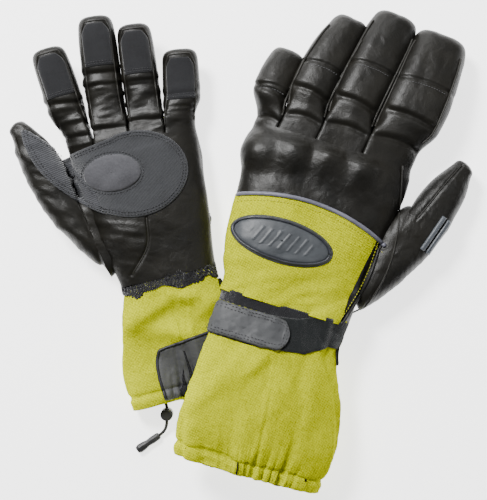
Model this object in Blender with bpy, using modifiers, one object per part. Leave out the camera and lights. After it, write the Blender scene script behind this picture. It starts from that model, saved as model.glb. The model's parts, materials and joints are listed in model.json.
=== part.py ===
"""A pair of insulated gauntlet gloves: leather hands, woven textile cuffs.

Glove A lies palm up, glove B lies back up with its cuff resting on the cuff of glove A.
Each glove is drawn in its own frame, in millimetres: x across (thumb at +x), y from the
wrist strap towards the fingertips and z from the palm side to the back of the hand.
The whole model is in metres, +Z up, standing on z = 0 with its origin under its middle.
"""
import math

import bmesh
import bpy
import numpy as np
from mathutils import Matrix, Vector

MM = 0.001
COLLECTION = "insulated_gauntlet_gloves"
CUTTERS = "cutters"

# Clearances, skins and mesh fineness, in millimetres unless named otherwise
GAP = 0.5
LEATHER = 1.5
TEXTILE = 1.3
LINING = 0.8
PATCH = 1.2
SQUARENESS = 2.5        # exponent of the rounded cross-sections
TIP_SQUARENESS = 3.4    # exponent of the fingertip's outline
BODY_SIDES = 20
THUMB_SIDES = 14
FINGER_SIDES = 10

# The wrist, the same on both gloves
CUFF_TOP = 21.6         # the cuff ends here, inside the wrist elastic
HAND_START = 22.1
ELASTIC = (13.0, 21.0)
STRAP_WIDTH = 22.0
BAND_WIDTH = 25.0
HEM_WIDTH = 9.0

LEATHER_BLACK = (0.018, 0.016, 0.014, 1.0)
SUEDE_GREY = (0.085, 0.088, 0.100, 1.0)
SAFETY_YELLOW = (0.78, 0.80, 0.01, 1.0)
ELASTIC_BLACK = (0.012, 0.012, 0.013, 1.0)
PIPING_GREY = (0.30, 0.28, 0.32, 1.0)
RUBBER_GREY = (0.10, 0.105, 0.115, 1.0)
LINING_BLACK = (0.02, 0.02, 0.022, 1.0)
FOAM_GREY = (0.11, 0.11, 0.12, 1.0)
GUARD_BLACK = (0.03, 0.03, 0.03, 1.0)

# Body stations run from the hem to the knuckles: y, middle x, half width, middle z, height above
# it, depth below it, and how much z grows per unit of x.
# A finger: x of its root and tip, y of its tip, half width of its root and tip, how much it
# swells and how far it bows sideways between them, height of its root and tip, and z of its tip.
GLOVE_A = {
    "prefix": "glove_a_",
    "origin": (-48.0, -36.0),
    "turn_deg": 13.0,
    "palm_up": True,
    "thickness": 31.3,
    "body": [
        (-68.0, 2.0, 43.5, 20.2, 9.4, 8.5, 0.0), (-56.0, 3.5, 46.5, 20.2, 9.4, 9.0, 0.0),
        (-30.0, 3.5, 44.5, 20.2, 9.4, 9.2, 0.0), (0.0, 2.0, 38.5, 15.8, 7.2, 9.8, 0.0),
        (21.6, 1.0, 36.5, 15.0, 9.0, 11.0, 0.0), (58.0, 1.5, 42.5, 13.0, 11.5, 12.5, 0.0),
        (92.0, 3.5, 47.0, 13.0, 12.0, 13.0, 0.0), (119.6, 4.5, 51.0, 14.0, 12.5, 12.5, 0.0),
    ],
    "hem_y": -68.0,
    "knuckle_y": 119.6,
    "finger_z": 14.0,
    "finger_arch": 2.5,
    "palm_side": 0.0,
    "fingers": {
        "index": (43.5, 48.5, 195.0, 12.0, 12.0, 0.7, -1.0, 11.5, 10.0, 4.0),
        "middle": (18.5, 9.5, 209.0, 12.0, 12.5, 0.8, 1.0, 12.0, 10.0, 2.0),
        "ring": (-7.0, -15.0, 198.0, 12.0, 12.0, 0.4, 0.0, 12.0, 10.0, 4.0),
        "little": (-33.0, -43.0, 174.0, 12.8, 12.0, 0.3, 0.0, 11.0, 9.5, 6.0),
    },
    "thumb": {
        "outer": [(40.0, 24.0), (60.0, 46.0), (92.0, 100.0), (86.0, 139.0)],
        "inner": [(56.0, 116.0), (57.0, 119.0), (60.0, 130.0), (75.0, 146.0)],
        "z": (14.0, 11.5),
        "height": (9.0, 10.5, 2.3),
    },
    "palm_patch": (9.0, 91.0, 35.0, 26.0, 13.0),
    "palm_pad": (20.0, 94.0, 21.0, 13.0, 13.0),
    "panel_right": [(21.0, 33.0), (82.0, 43.0)],
    "piping": (-36.0, 43.0, 78.0, 75.0, 9.5),
    "badge": (-9.0, 52.0, 29.0, 12.0),
    "strap_x": (-37.0, 7.0),
    "guard": (-34.0, 31.0, 97.0, 105.0, 4.0),
    "bars": (0.44, 0.60),
    "cuff_patch": [(-30.0, -22.0, 19.0), (-64.0, -22.0, 22.5)],
}

GLOVE_B = {
    "prefix": "glove_b_",
    "origin": (22.0, -58.0),
    "turn_deg": -17.0,
    "palm_up": False,
    "thickness": 0.0,
    "body": [
        (-98.0, 9.0, 55.5, 31.0, 20.0, 15.0, -0.18), (-80.0, 9.0, 60.5, 32.0, 24.0, 16.0, -0.19),
        (-40.0, 6.5, 57.0, 33.0, 23.0, 15.0, -0.19), (0.0, 0.0, 47.5, 33.0, 16.0, 12.5, -0.16),
        (21.6, 1.0, 48.5, 30.5, 17.0, 13.5, -0.13), (52.0, -1.5, 55.5, 26.0, 19.0, 16.0, -0.10),
        (84.0, 0.5, 58.5, 22.3, 20.0, 16.5, -0.05), (116.0, 1.5, 62.5, 20.9, 18.5, 16.0, -0.02),
        (141.6, -0.5, 63.0, 20.0, 16.5, 15.5, 0.0),
    ],
    "hem_y": -98.0,
    "knuckle_y": 141.6,
    "finger_z": 20.0,
    "finger_arch": 7.5,
    "palm_side": 0.5,
    "fingers": {
        "index": (42.0, 52.5, 237.0, 20.0, 17.5, 1.3, 1.5, 15.5, 12.0, 13.0),
        "middle": (3.5, 20.0, 241.0, 15.4, 15.0, 1.0, -2.0, 16.0, 12.0, 13.0),
        "ring": (-27.0, -8.5, 229.0, 12.8, 11.5, 1.8, -5.0, 15.5, 12.0, 13.0),
        "little": (-52.5, -44.5, 194.0, 10.9, 10.8, 0.5, -3.0, 14.0, 11.0, 12.0),
    },
    "thumb": {
        "outer": [(51.5, 26.0), (72.0, 50.0), (106.0, 104.0), (100.0, 145.0)],
        "inner": [(66.5, 118.0), (68.0, 121.0), (73.0, 138.0), (87.0, 152.0)],
        "z": (20.5, 14.0),
        "height": (10.5, 12.5, 1.8),
    },
    "palm_patch": (9.0, 110.0, 42.0, 27.0, 13.0),
    "palm_pad": (20.0, 113.0, 25.0, 15.0, 13.0),
    "panel_right": [(21.0, 40.0), (82.0, 52.0)],
    "piping": (-56.0, 52.0, 84.0, 82.0, 12.0),
    "badge": (-15.0, 62.0, 36.0, 15.0),
    "strap_x": (-47.0, 8.0),
    "guard": (-49.0, 25.0, 115.0, 127.0, 5.0),
    "bars": (0.49, 0.70),
    "cuff_patch": None,
}
ROOT_STEP = 0.8          # the fingers start this far beyond the hand
FINGER_STATIONS = 5
THUMB_STATIONS = 7
BAR_INSET = 6.0          # from the thumb's outer edge to the middle of its bars

# Drawcord of glove A, in millimetres: the free tail, from the hem through its lock to the pull
CORD_RADIUS = 1.1
CORD_ROUTE = [(-56.0, -108.9, 4.0), (-55.4, -110.5, 5.4), (-55.0, -112.2, 6.4), (-55.0, -114.4, 6.4),
              (-55.0, -118.4, 6.4), (-55.0, -122.4, 6.4), (-55.4, -125.4, 5.6), (-56.4, -128.1, 4.1),
              (-58.2, -130.5, 3.1), (-60.8, -132.6, 2.8), (-63.6, -134.5, 2.8), (-66.4, -136.4, 2.8)]
CORD_POINTS = 28
LOCK_CENTRE = (-55.0, -117.0)
LOCK_RADIUS = 4.4
LOCK_BASE = 0.3
LOCK_TOP = 10.4
LOCK_WALL = 0.9
LOCK_HOLE_Z = 6.4
LOCK_HOLE_RADIUS = 1.7
BUTTON_RADIUS = 3.1
BUTTON_BASE = 3.7
BUTTON_HEAD = (12.4, 13.6)
BUTTON_HEAD_RADIUS = 3.9
BUTTON_TRAVEL = 1.5
SPRING_RADIUS = 2.3
SPRING_WIRE = 0.2
SPRING_TURNS = 2.5
PULL_LENGTH = 19.0
PULL_WIDTH = 6.5
PULL_HEIGHT = 5.2
PULL_BORE_RADIUS = 1.5
PULL_BORE_DEPTH = 7.6


# ---------------------------------------------------------------------------- helpers

def clear_scene():
    """Remove every object, so that the script gives the same result each time it runs."""
    for obj in list(bpy.data.objects):
        bpy.data.objects.remove(obj, do_unlink=True)


def make_collection(name):
    """Return a new collection linked to the scene."""
    found = bpy.data.collections.get(name)
    if found is None:
        found = bpy.data.collections.new(name)
        bpy.context.scene.collection.children.link(found)
    return found


def principled(name, colour, roughness, metallic=0.0):
    """Return a Principled material, made once for each name."""
    mat = bpy.data.materials.get(name)
    if mat is None:
        mat = bpy.data.materials.new(name)
        mat.use_nodes = True
        shader = mat.node_tree.nodes["Principled BSDF"]
        shader.inputs["Base Color"].default_value = colour
        shader.inputs["Roughness"].default_value = roughness
        shader.inputs["Metallic"].default_value = metallic
    return mat


def add_object(name, mesh, parent, mat, collection):
    """Link a mesh as a named object under its parent, with its material."""
    obj = bpy.data.objects.new(name, mesh)
    collection.objects.link(obj)
    obj.parent = parent
    if parent is not None:
        obj.matrix_parent_inverse = Matrix.Identity(4)
    if mat is not None:
        mesh.materials.append(mat)
    mesh.shade_smooth()
    return obj


def loft(name, rings, closed=True, tip=None, facing=0):
    """Return a mesh that joins rings of points, in millimetres, with an optional tip point.

    facing is 0 for a tube, and +1 or -1 for a sheet whose faces look up or down.
    """
    bm = bmesh.new()
    rows = [[bm.verts.new(Vector(point) * MM) for point in ring] for ring in rings]
    count = len(rows[0])
    last = count if closed else count - 1
    for lower, upper in zip(rows, rows[1:]):
        for i in range(last):
            j = (i + 1) % count
            bm.faces.new((upper[i], upper[j], lower[j], lower[i]))
    if tip is not None:
        end = bm.verts.new(Vector(tip) * MM)
        for i in range(count):
            bm.faces.new((end, rows[-1][(i + 1) % count], rows[-1][i]))
    bm.normal_update()
    if facing * sum(face.normal.z for face in bm.faces) < 0:
        bmesh.ops.reverse_faces(bm, faces=bm.faces)
    mesh = bpy.data.meshes.new(name)
    bm.to_mesh(mesh)
    bm.free()
    return mesh


def solidify(obj, thickness, offset):
    """Give an open surface a thickness: offset -1 grows it inwards, +1 outwards."""
    mod = obj.modifiers.new("thickness", "SOLIDIFY")
    mod.thickness = thickness * MM
    mod.offset = offset
    mod.use_even_offset = False
    return mod


def catmull(values, s):
    """Return the point at s on a smooth curve through the rows of values."""
    last = len(values) - 1
    i = int(min(max(math.floor(s), 0), last - 1))
    t = s - i
    p1 = values[i]
    p2 = values[i + 1]
    p0 = values[i - 1] if i > 0 else 2.0 * p1 - p2
    p3 = values[i + 2] if i + 2 <= last else 2.0 * p2 - p1
    return 0.5 * (2.0 * p1 + (p2 - p0) * t + (2.0 * p0 - 5.0 * p1 + 4.0 * p2 - p3) * t * t
                  + (3.0 * p1 - p0 - 3.0 * p2 + p3) * t ** 3)


class Tube:
    """A soft tube with rounded cross-sections: one row of numbers for each station.

    A row holds the centre (x, y, z), the sideways direction (x, y), the half width, the height
    above and depth below the centre, and the slope of the section across.
    """

    def __init__(self, rows, tip=False):
        self.rows = [np.array(row, dtype=float) for row in rows]
        self.last = len(rows) - 1
        self.tip = tip

    def section(self, s):
        """Return the interpolated row at s, rounded off over the last stretch of a tip."""
        row = catmull(self.rows, s).copy()
        row[3:5] /= math.hypot(row[3], row[4])
        over = s - (self.last - 1)
        if self.tip and over > 0:
            scale = max(1.0 - min(over, 1.0) ** TIP_SQUARENESS, 0.0) ** (1.0 / TIP_SQUARENESS)
            row[5:8] *= scale
        return row

    def point(self, s, angle):
        """Return the surface point at s and angle: 0 thumb side, 90 back, 180 far side, 270 palm."""
        row = self.section(s)
        c = math.cos(math.radians(angle))
        d = math.sin(math.radians(angle))
        across = math.copysign(abs(c) ** (2.0 / SQUARENESS), c) * row[5]
        height = row[6] if d > 0 else row[7]
        rise = math.copysign(abs(d) ** (2.0 / SQUARENESS), d) * height + row[8] * across
        return Vector((row[0] + row[3] * across, row[1] + row[4] * across, row[2] + rise))

    def lifted(self, s, angle, lift):
        """Return the surface point moved outwards by lift, or inwards where lift is negative."""
        step_s = 0.02
        step_a = 2.0
        along = self.point(min(s + step_s, self.last - 0.02), angle)
        along = along - self.point(max(s - step_s, 0.0), angle)
        around = self.point(s, angle + step_a) - self.point(s, angle - step_a)
        normal = around.cross(along)
        outward = self.point(s, angle) - Vector(self.section(s)[0:3])
        if normal.dot(outward) < 0:
            normal.negate()
        return self.point(s, angle) + normal.normalized() * lift

    def ring(self, s, sides, lift=0.0):
        """Return the points of one cross-section."""
        step = 360.0 / sides
        return [self.lifted(s, (i + 0.5) * step, lift) if lift else self.point(s, (i + 0.5) * step)
                for i in range(sides)]

    def locate(self, x, y, side):
        """Return s and angle of the surface point above (side +1) or below (-1) the plan point."""
        low_s, high_s = 0.0, float(self.last)
        low_a, high_a = 2.0, 178.0
        s, angle = 0.0, 90.0
        for _ in range(9):
            best = None
            for si in np.linspace(low_s, high_s, 9):
                for ai in np.linspace(low_a, high_a, 9):
                    p = self.point(si, side * ai)
                    error = (p.x - x) ** 2 + (p.y - y) ** 2
                    if best is None or error < best:
                        best, s, angle = error, si, ai
            span_s = (high_s - low_s) / 4.0
            span_a = (high_a - low_a) / 4.0
            low_s, high_s = max(s - span_s, 0.0), min(s + span_s, float(self.last))
            low_a, high_a = max(angle - span_a, 0.5), min(angle + span_a, 179.5)
        return s, side * angle

    def over(self, x, y, side, lift):
        """Return the point at plan position (x, y) on one side of the tube, lifted off it."""
        s, angle = self.locate(x, y, side)
        return self.lifted(s, angle, lift)


def body_tube(glove):
    """Return the tube of the cuff and hand."""
    rows = [(xc, y, zc, 1.0, 0.0, w, up, down, slope)
            for y, xc, w, zc, up, down, slope in glove["body"]]
    return Tube(rows)


def body_s(glove, y):
    """Return the station value of the body at the given y."""
    ys = [row[0] for row in glove["body"]]
    low, high = 0.0, float(len(ys) - 1)
    rows = [np.array([value]) for value in ys]
    for _ in range(40):
        middle = 0.5 * (low + high)
        if catmull(rows, middle)[0] < y:
            low = middle
        else:
            high = middle
    return 0.5 * (low + high)


def mix(first, last, t):
    """Return the value at t on the way from first to last."""
    return first + (last - first) * t


def hump(t):
    """Return a rise from 0 to 1 and back as t goes from 0 to 1."""
    return 4.0 * t * (1.0 - t)


def arc_y(arc, x):
    """Return y at x on a shallow arc: x of its ends, y of its ends, and its rise."""
    left, right, left_y, right_y, rise = arc
    t = (x - left) / (right - left)
    return mix(left_y, right_y, t) + rise * hump(min(max(t, 0.0), 1.0))


def bezier(points, t):
    """Return the point at t on a cubic Bezier curve."""
    a, b, c, d = (Vector(point) for point in points)
    u = 1.0 - t
    return a * u ** 3 + b * (3.0 * u * u * t) + c * (3.0 * u * t * t) + d * t ** 3


def finger_stations(glove, finger):
    """Return a finger's stations: x, y, z, half width, height and depth."""
    root_x, tip_x, tip_y, root_w, tip_w, swell, bow, root_h, tip_h, tip_z = finger
    root_y = glove["knuckle_y"] + ROOT_STEP
    rows = []
    for t in spaced(0.0, 1.0, FINGER_STATIONS):
        height = mix(root_h, tip_h, t)
        rows.append((mix(root_x, tip_x, t) + bow * hump(t), mix(root_y, tip_y, t),
                     mix(glove["finger_z"], tip_z, t) + glove["finger_arch"] * hump(t),
                     mix(root_w, tip_w, t) + swell * hump(t),
                     height, height - glove["palm_side"] * (1.0 - t)))
    return rows


def finger_tube(stations):
    """Return the tube of one finger, square to the knuckle line at its base."""
    rows = []
    for i, (x, y, z, w, up, down) in enumerate(stations):
        before = stations[max(i - 1, 0)]
        after = stations[min(i + 1, len(stations) - 1)]
        along = Vector((after[0] - before[0], after[1] - before[1])).normalized()
        side = (1.0, 0.0) if i == 0 else (along.y, -along.x)
        rows.append((x, y, z, side[0], side[1], w, up, down, 0.0))
    return Tube(rows, tip=True)


def thumb_tube(thumb):
    """Return the tube of the thumb: a fan from the side of the hand to the tip."""
    rows = []
    root_h, tip_h, swell = thumb["height"]
    for t in spaced(0.0, 1.0, THUMB_STATIONS):
        outer, inner = bezier(thumb["outer"], t), bezier(thumb["inner"], t * t)
        centre = (outer + inner) / 2.0
        side = outer - inner
        w = side.length / 2.0
        side.normalize()
        height = mix(root_h, tip_h, t) + swell * hump(t)
        rows.append((centre.x, centre.y, mix(*thumb["z"], t), side.x, side.y, w, height, height, 0.0))
    return Tube(rows, tip=True)


def place_matrix(glove):
    """Return the matrix that lays a glove on the floor, from its own frame to the world."""
    ox, oy = glove["origin"]
    turn = Matrix.Rotation(math.radians(glove["turn_deg"]), 4, "Z")
    where = Matrix.Translation(Vector((ox, oy, glove["thickness"])) * MM)
    if glove["palm_up"]:
        return where @ turn @ Matrix.Rotation(math.pi, 4, "Y")
    return where @ turn


class Builder:
    """Builds the pieces of one glove under one empty."""

    def __init__(self, glove, collection, cutters):
        self.glove = glove
        self.collection = collection
        self.cutters = cutters
        self.body = body_tube(glove)
        self.fingers = {name: finger_tube(finger_stations(glove, finger))
                        for name, finger in glove["fingers"].items()}
        self.thumb = thumb_tube(glove["thumb"])
        self.root = bpy.data.objects.new(glove["prefix"] + "place", None)
        collection.objects.link(self.root)
        self.root.matrix_world = place_matrix(glove)

    def pivot(self, name, point, direction):
        """Return an empty on a joint's axis: its local Z runs along the axis."""
        empty = bpy.data.objects.new(self.glove["prefix"] + name, None)
        self.collection.objects.link(empty)
        empty.parent = self.root
        turn = Vector(direction).to_track_quat("Z", "Y").to_matrix().to_4x4()
        empty.matrix_basis = Matrix.Translation(Vector(point) * MM) @ turn
        return empty

    def add(self, name, mesh, mat, pivot=None):
        """Add a piece whose mesh is in the glove's frame, under the glove or a pivot."""
        parent = pivot if pivot is not None else self.root
        if pivot is not None:
            mesh.transform(pivot.matrix_basis.inverted())
        return add_object(self.glove["prefix"] + name, mesh, parent, mat, self.collection)

    def plate(self, name, grid, side, thickness, mat, pivot=None):
        """Add a sheet piece from a grid of surface points, thickened away from the glove."""
        mesh = loft(name, grid, closed=False, facing=side)
        obj = self.add(name, mesh, mat, pivot)
        solidify(obj, thickness, 1.0)
        return obj

    def disc(self, name, tube, side, centre, radii, turn_deg, lift, thickness, mat, pivot=None):
        """Add an oval piece lying on a tube: rings of points round a middle point."""
        rings_count, spokes = 2, 18
        cx, cy = centre
        cos_t, sin_t = math.cos(math.radians(turn_deg)), math.sin(math.radians(turn_deg))
        rings = []
        for k in range(rings_count, 0, -1):
            ring = []
            for i in range(spokes):
                angle = 2.0 * math.pi * i / spokes
                px = radii[0] * k / rings_count * math.cos(angle)
                py = radii[1] * k / rings_count * math.sin(angle)
                ring.append(tube.over(cx + px * cos_t - py * sin_t,
                                      cy + px * sin_t + py * cos_t, side, lift))
            rings.append(ring)
        mesh = loft(name, rings, tip=tube.over(cx, cy, side, lift), facing=side)
        obj = self.add(name, mesh, mat, pivot)
        solidify(obj, thickness, 1.0)
        return obj


# ---------------------------------------------------------------------------- glove pieces

def spaced(low, high, count):
    """Return count values from low to high."""
    return [low + (high - low) * i / (count - 1) for i in range(count)]


def add_cuff(b):
    """The textile gauntlet, its lining, the hem that holds the drawcord and the elastic."""
    g = b.glove
    yellow = principled("woven_yellow", SAFETY_YELLOW, 0.85)
    black = principled("elastic", ELASTIC_BLACK, 0.8)
    levels = spaced(g["hem_y"], CUFF_TOP, 8)
    rings = [b.body.ring(body_s(g, y), BODY_SIDES) for y in levels]
    cuff = b.add("cuff", loft("cuff", rings), yellow)
    solidify(cuff, TEXTILE, -1.0)

    depth = -(TEXTILE + 4.4 * GAP)
    levels = spaced(g["hem_y"] + 3.0, CUFF_TOP - 2.0, 6)
    rings = [b.body.ring(body_s(g, y), BODY_SIDES, depth) for y in levels]
    lining = b.add("cuff_lining", loft("lining", rings), principled("lining", LINING_BLACK, 0.9))
    solidify(lining, LINING, -1.0)

    levels = (g["hem_y"] + 0.5, g["hem_y"] + HEM_WIDTH)
    rings = [b.body.ring(body_s(g, y), BODY_SIDES, GAP) for y in levels]
    hem = b.add("hem_channel", loft("hem", rings), yellow)
    solidify(hem, TEXTILE, 1.0)

    rings = [b.body.ring(body_s(g, y), BODY_SIDES, 1.8 * GAP) for y in ELASTIC]
    elastic = b.add("wrist_elastic", loft("elastic", rings), black)
    solidify(elastic, PATCH, 1.0)


def thumb_hole_cutter(b):
    """A rounded bar that opens the side of the hand where the thumb joins it."""
    base = b.thumb.section(0)
    direction = Vector((base[3], base[4], 0.0))
    centre = Vector(base[0:3])
    length = base[5] * 0.78
    bm = bmesh.new()
    bmesh.ops.create_uvsphere(bm, u_segments=16, v_segments=8, radius=1.0)
    turn = direction.to_track_quat("X", "Z").to_matrix().to_4x4()
    shape = Matrix.Diagonal((length * MM, 12.0 * MM, 7.5 * MM, 1.0))
    bm.transform(Matrix.Translation(centre * MM) @ turn @ shape)
    mesh = bpy.data.meshes.new("thumb_hole")
    bm.to_mesh(mesh)
    bm.free()
    cutter = add_object(b.glove["prefix"] + "thumb_hole_cutter", mesh, b.root, None, b.cutters)
    cutter.hide_render = True
    cutter.display_type = "WIRE"
    return cutter


def add_hand(b):
    """The leather hand: a tube open at the wrist, at the fingers and at the thumb."""
    g = b.glove
    levels = spaced(HAND_START, g["knuckle_y"], 7)
    rings = [b.body.ring(body_s(g, y), BODY_SIDES) for y in levels]
    hand = b.add("hand", loft("hand", rings), principled("leather", LEATHER_BLACK, 0.45))
    solidify(hand, LEATHER, -1.0)
    hole = hand.modifiers.new("thumb_hole", "BOOLEAN")
    hole.operation = "DIFFERENCE"
    hole.solver = "EXACT"
    hole.object = thumb_hole_cutter(b)


def digit_mesh(tube, sides):
    """Return the open surface of a finger or thumb, closed at its tip."""
    whole = [float(i) for i in range(tube.last)]
    ends = [tube.last - 1 + f for f in (0.5, 0.8, 0.96)]
    rings = [tube.ring(s, sides) for s in whole + ends]
    return loft("digit", rings, tip=tube.point(tube.last, 90.0))


def digit_pivot(b, name, tube):
    """Return the joint's empty, on the edge of the digit's base that it bends about.

    Glove A bends towards its palm, which faces up. Glove B lies on its palm, so it bends back.
    """
    base = tube.section(0)
    edge = -base[7] if b.glove["palm_up"] else base[6]
    point = (base[0], base[1], base[2] + edge)
    direction = Vector((base[3], base[4], 0.0))
    return b.pivot(name + "_pivot", point, direction)


def add_digits(b):
    """Four fingers and the thumb, each a closed leather tube that bends at its base."""
    leather = principled("leather", LEATHER_BLACK, 0.45)
    pivots = {}
    digits = dict(b.fingers)
    digits["thumb"] = b.thumb
    for name, tube in digits.items():
        sides = THUMB_SIDES if name == "thumb" else FINGER_SIDES
        pivots[name] = digit_pivot(b, name, tube)
        digit = b.add(name, digit_mesh(tube, sides), leather, pivots[name])
        solidify(digit, LEATHER, -1.0)
    return pivots


def add_tip_patches(b, pivots):
    """A suede grip patch on the palm side of each fingertip."""
    suede = principled("suede", SUEDE_GREY, 0.9)
    for name, tube in b.fingers.items():
        levels = spaced(tube.last - 1.0, tube.last - 0.35, 3)
        angles = spaced(-142.0, -38.0, 5)
        grid = [[tube.lifted(s, angle, 2.2 * GAP) for angle in angles] for s in levels]
        b.plate(name + "_tip_patch", grid, -1, PATCH, suede, pivots[name])


def add_palm(b, pivots):
    """The grey suede reinforcement: an oval on the palm, a pad on it and a strip on the thumb."""
    suede = principled("suede", SUEDE_GREY, 0.9)
    x, y, rx, ry, turn = b.glove["palm_patch"]
    b.disc("palm_patch", b.body, -1, (x, y), (rx, ry), turn, 1.4 * GAP, PATCH, suede)
    x, y, rx, ry, turn = b.glove["palm_pad"]
    lift = 2.6 * GAP + PATCH
    b.disc("palm_pad", b.body, -1, (x, y), (rx, ry), turn, lift, 2.0, principled("foam", FOAM_GREY, 0.9))
    angles = spaced(-132.0, -58.0, 5)
    grid = [[b.thumb.lifted(s, angle, GAP) for angle in angles] for s in spaced(1.2, 5.2, 6)]
    b.plate("thumb_patch", grid, -1, PATCH, suede, pivots["thumb"])


def add_back_panel(b):
    """The woven panel over the back of the hand, edged with piping."""
    g = b.glove
    (low_y, low_right), (high_y, high_right) = g["panel_right"]
    left_angle = 160.0
    start = ELASTIC[1] + 1.0
    grid = []
    for v in spaced(0.0, 1.0, 7):
        row = []
        for u in spaced(0.0, 1.0, 10):
            y = start
            for _ in range(3):
                right = low_right + (high_right - low_right) * (y - low_y) / (high_y - low_y)
                right_angle = b.body.locate(right, y, 1)[1]
                angle = left_angle + (right_angle - left_angle) * u
                x = b.body.point(body_s(g, y), angle).x
                y = start + (arc_y(g["piping"], x) - 3.0 - start) * v
            row.append(b.body.lifted(body_s(g, y), angle, 1.4 * GAP))
        grid.append(row)
    b.plate("back_panel", grid, 1, TEXTILE, principled("woven_yellow", SAFETY_YELLOW, 0.85))


def add_piping(b):
    """The reflective piping between the back panel and the leather."""
    g = b.glove
    radius = 1.1
    left, right = g["piping"][0] + 2.5, g["piping"][1] - 1.0
    grid = []
    for x in spaced(left, right, 12):
        y = arc_y(g["piping"], x)
        here = b.body.over(x, y, 1, GAP + radius)
        grid.append([(here.x, here.y + radius * math.cos(a), here.z + radius * math.sin(a))
                     for a in (math.radians(60.0 * i) for i in range(6))])
    bm = bmesh.new()
    rows = [[bm.verts.new(Vector(p) * MM) for p in ring] for ring in grid]
    for lower, upper in zip(rows, rows[1:]):
        for i in range(6):
            j = (i + 1) % 6
            bm.faces.new((lower[i], upper[i], upper[j], lower[j]))
    bm.faces.new(rows[0])
    bm.faces.new(reversed(rows[-1]))
    bmesh.ops.recalc_face_normals(bm, faces=bm.faces)
    mesh = bpy.data.meshes.new("piping")
    bm.to_mesh(mesh)
    bm.free()
    b.add("piping", mesh, principled("piping", PIPING_GREY, 0.4))


def add_badge(b):
    """The oval rubber badge on the back panel: a plain plate inside a raised rim."""
    g = b.glove
    x, y, rx, ry = g["badge"]
    rubber = principled("rubber_grey", RUBBER_GREY, 0.6)
    lift = 3.6 * GAP + TEXTILE
    rim_width = 2.6
    rings = []
    for scale_x, scale_y in ((rx, ry), (rx - rim_width, ry - rim_width)):
        ring = []
        for i in range(24):
            angle = 2.0 * math.pi * i / 24
            ring.append(b.body.over(x + scale_x * math.cos(angle), y + scale_y * math.sin(angle), 1, lift))
        rings.append(ring)
    rim = b.add("badge_rim", loft("rim", rings, facing=1), principled("rubber_black", GUARD_BLACK, 0.5))
    solidify(rim, 2.4, 1.0)
    inner = (rx - rim_width - GAP, ry - rim_width - GAP)
    b.disc("badge", b.body, 1, (x, y), inner, 0.0, lift, 1.6, rubber)


def strap_grid(b, x_low, x_high, width, lift_of, round_tip):
    """Return a grid of points across the back of the wrist, from x_low to x_high."""
    g = b.glove
    first = b.body.locate(x_low, 0.0, 1)[1]
    final = b.body.locate(x_high, 0.0, 1)[1]
    grid = []
    for t in spaced(0.0, 1.0, 10):
        angle = first + (final - first) * t
        to_tip = x_high - b.body.point(body_s(g, 0.0), angle).x
        half = width / 2.0
        if round_tip and to_tip < half:
            half = math.sqrt(max(half ** 2 - (half - to_tip) ** 2, (half * 0.42) ** 2))
        levels = [body_s(g, v * half) for v in (1.0, 0.0, -1.0)]
        grid.append([b.body.lifted(s, angle, lift_of(t)) for s in levels])
    return grid


def add_strap(b):
    """The wrist strap: a leather tab with a hook patch, closing on a loop band."""
    x_low, x_high = b.glove["strap_x"]
    edge = b.body.section(body_s(b.glove, 0.0))
    band_low = x_high - 34.0
    band_high = edge[0] + edge[5] * 0.985
    band = strap_grid(b, band_low, band_high, BAND_WIDTH, lambda t: 1.4 * GAP, False)
    black = principled("elastic", ELASTIC_BLACK, 0.8)
    b.plate("strap_loop_band", band, 1, PATCH, black)

    hook_lift = 2.4 * GAP + PATCH
    tab_lift = hook_lift + 1.0 + GAP
    start = b.body.locate(x_low, 0.0, 1)
    pivot_point = b.body.lifted(start[0], start[1], GAP + 1.8)
    pivot = b.pivot("strap_pivot", pivot_point, (0.0, 1.0, 0.0))
    hook = strap_grid(b, x_high - 27.0, x_high - 4.0, STRAP_WIDTH - 5.0, lambda t: hook_lift, False)
    b.plate("strap_hook", hook, 1, 1.0, black, pivot)

    def tab_height(t):
        rise = min(max((t - 0.10) / 0.30, 0.0), 1.0)
        return GAP + (tab_lift - GAP) * rise * rise * (3.0 - 2.0 * rise)

    tab = strap_grid(b, x_low, x_high, STRAP_WIDTH, tab_height, True)
    b.plate("strap_tab", tab, 1, 1.8, principled("strap_leather", SUEDE_GREY, 0.7), pivot)


def add_knuckle_guard(b):
    """The moulded guard under the leather: a plate with a dome over each knuckle."""
    g = b.glove
    left, right = g["guard"][0:2]
    bumps = spaced(left, right, 4)
    pitch = (right - left) / 3.0
    half_depth = pitch * 0.42
    grid = []
    for v in spaced(-1.0, 1.0, 5):
        row = []
        for x in spaced(left - pitch * 0.36, right + pitch * 0.40, 15):
            y = arc_y(g["guard"], min(max(x, left), right)) + v * half_depth
            dome = sum(math.exp(-(((x - bx) / (pitch * 0.34)) ** 2 + (v / 0.62) ** 2))
                       for bx in bumps)
            row.append(b.body.over(x, y, 1, 1.4 * GAP + 3.2 * min(dome, 1.0)))
        grid.append(row)
    b.plate("knuckle_guard", grid, 1, 1.4, principled("guard", GUARD_BLACK, 0.4))


def add_thumb_bars(b, pivots):
    """Two raised bars on the back of the thumb, which wipe a visor."""
    thumb = b.glove["thumb"]
    ends = []
    for t in b.glove["bars"]:
        outer = bezier(thumb["outer"], t)
        inward = (bezier(thumb["inner"], t * t) - outer).normalized()
        ends.append(outer + inward * BAR_INSET)
    low, high = ends
    along = (high - low).normalized()
    across = Vector((along.y, -along.x))
    grey = principled("piping", PIPING_GREY, 0.4)
    for number, shift in ((1, -2.6), (2, 2.6)):
        grid = []
        for t in spaced(0.0, 1.0, 5):
            row = []
            for v in (-1.4, 1.4):
                here = low + (high - low) * t + across * (shift + v)
                row.append(b.thumb.over(here.x, here.y, 1, GAP))
            grid.append(row)
        b.plate("thumb_bar_%d" % number, grid, 1, 1.6, grey, pivots["thumb"])


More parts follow.
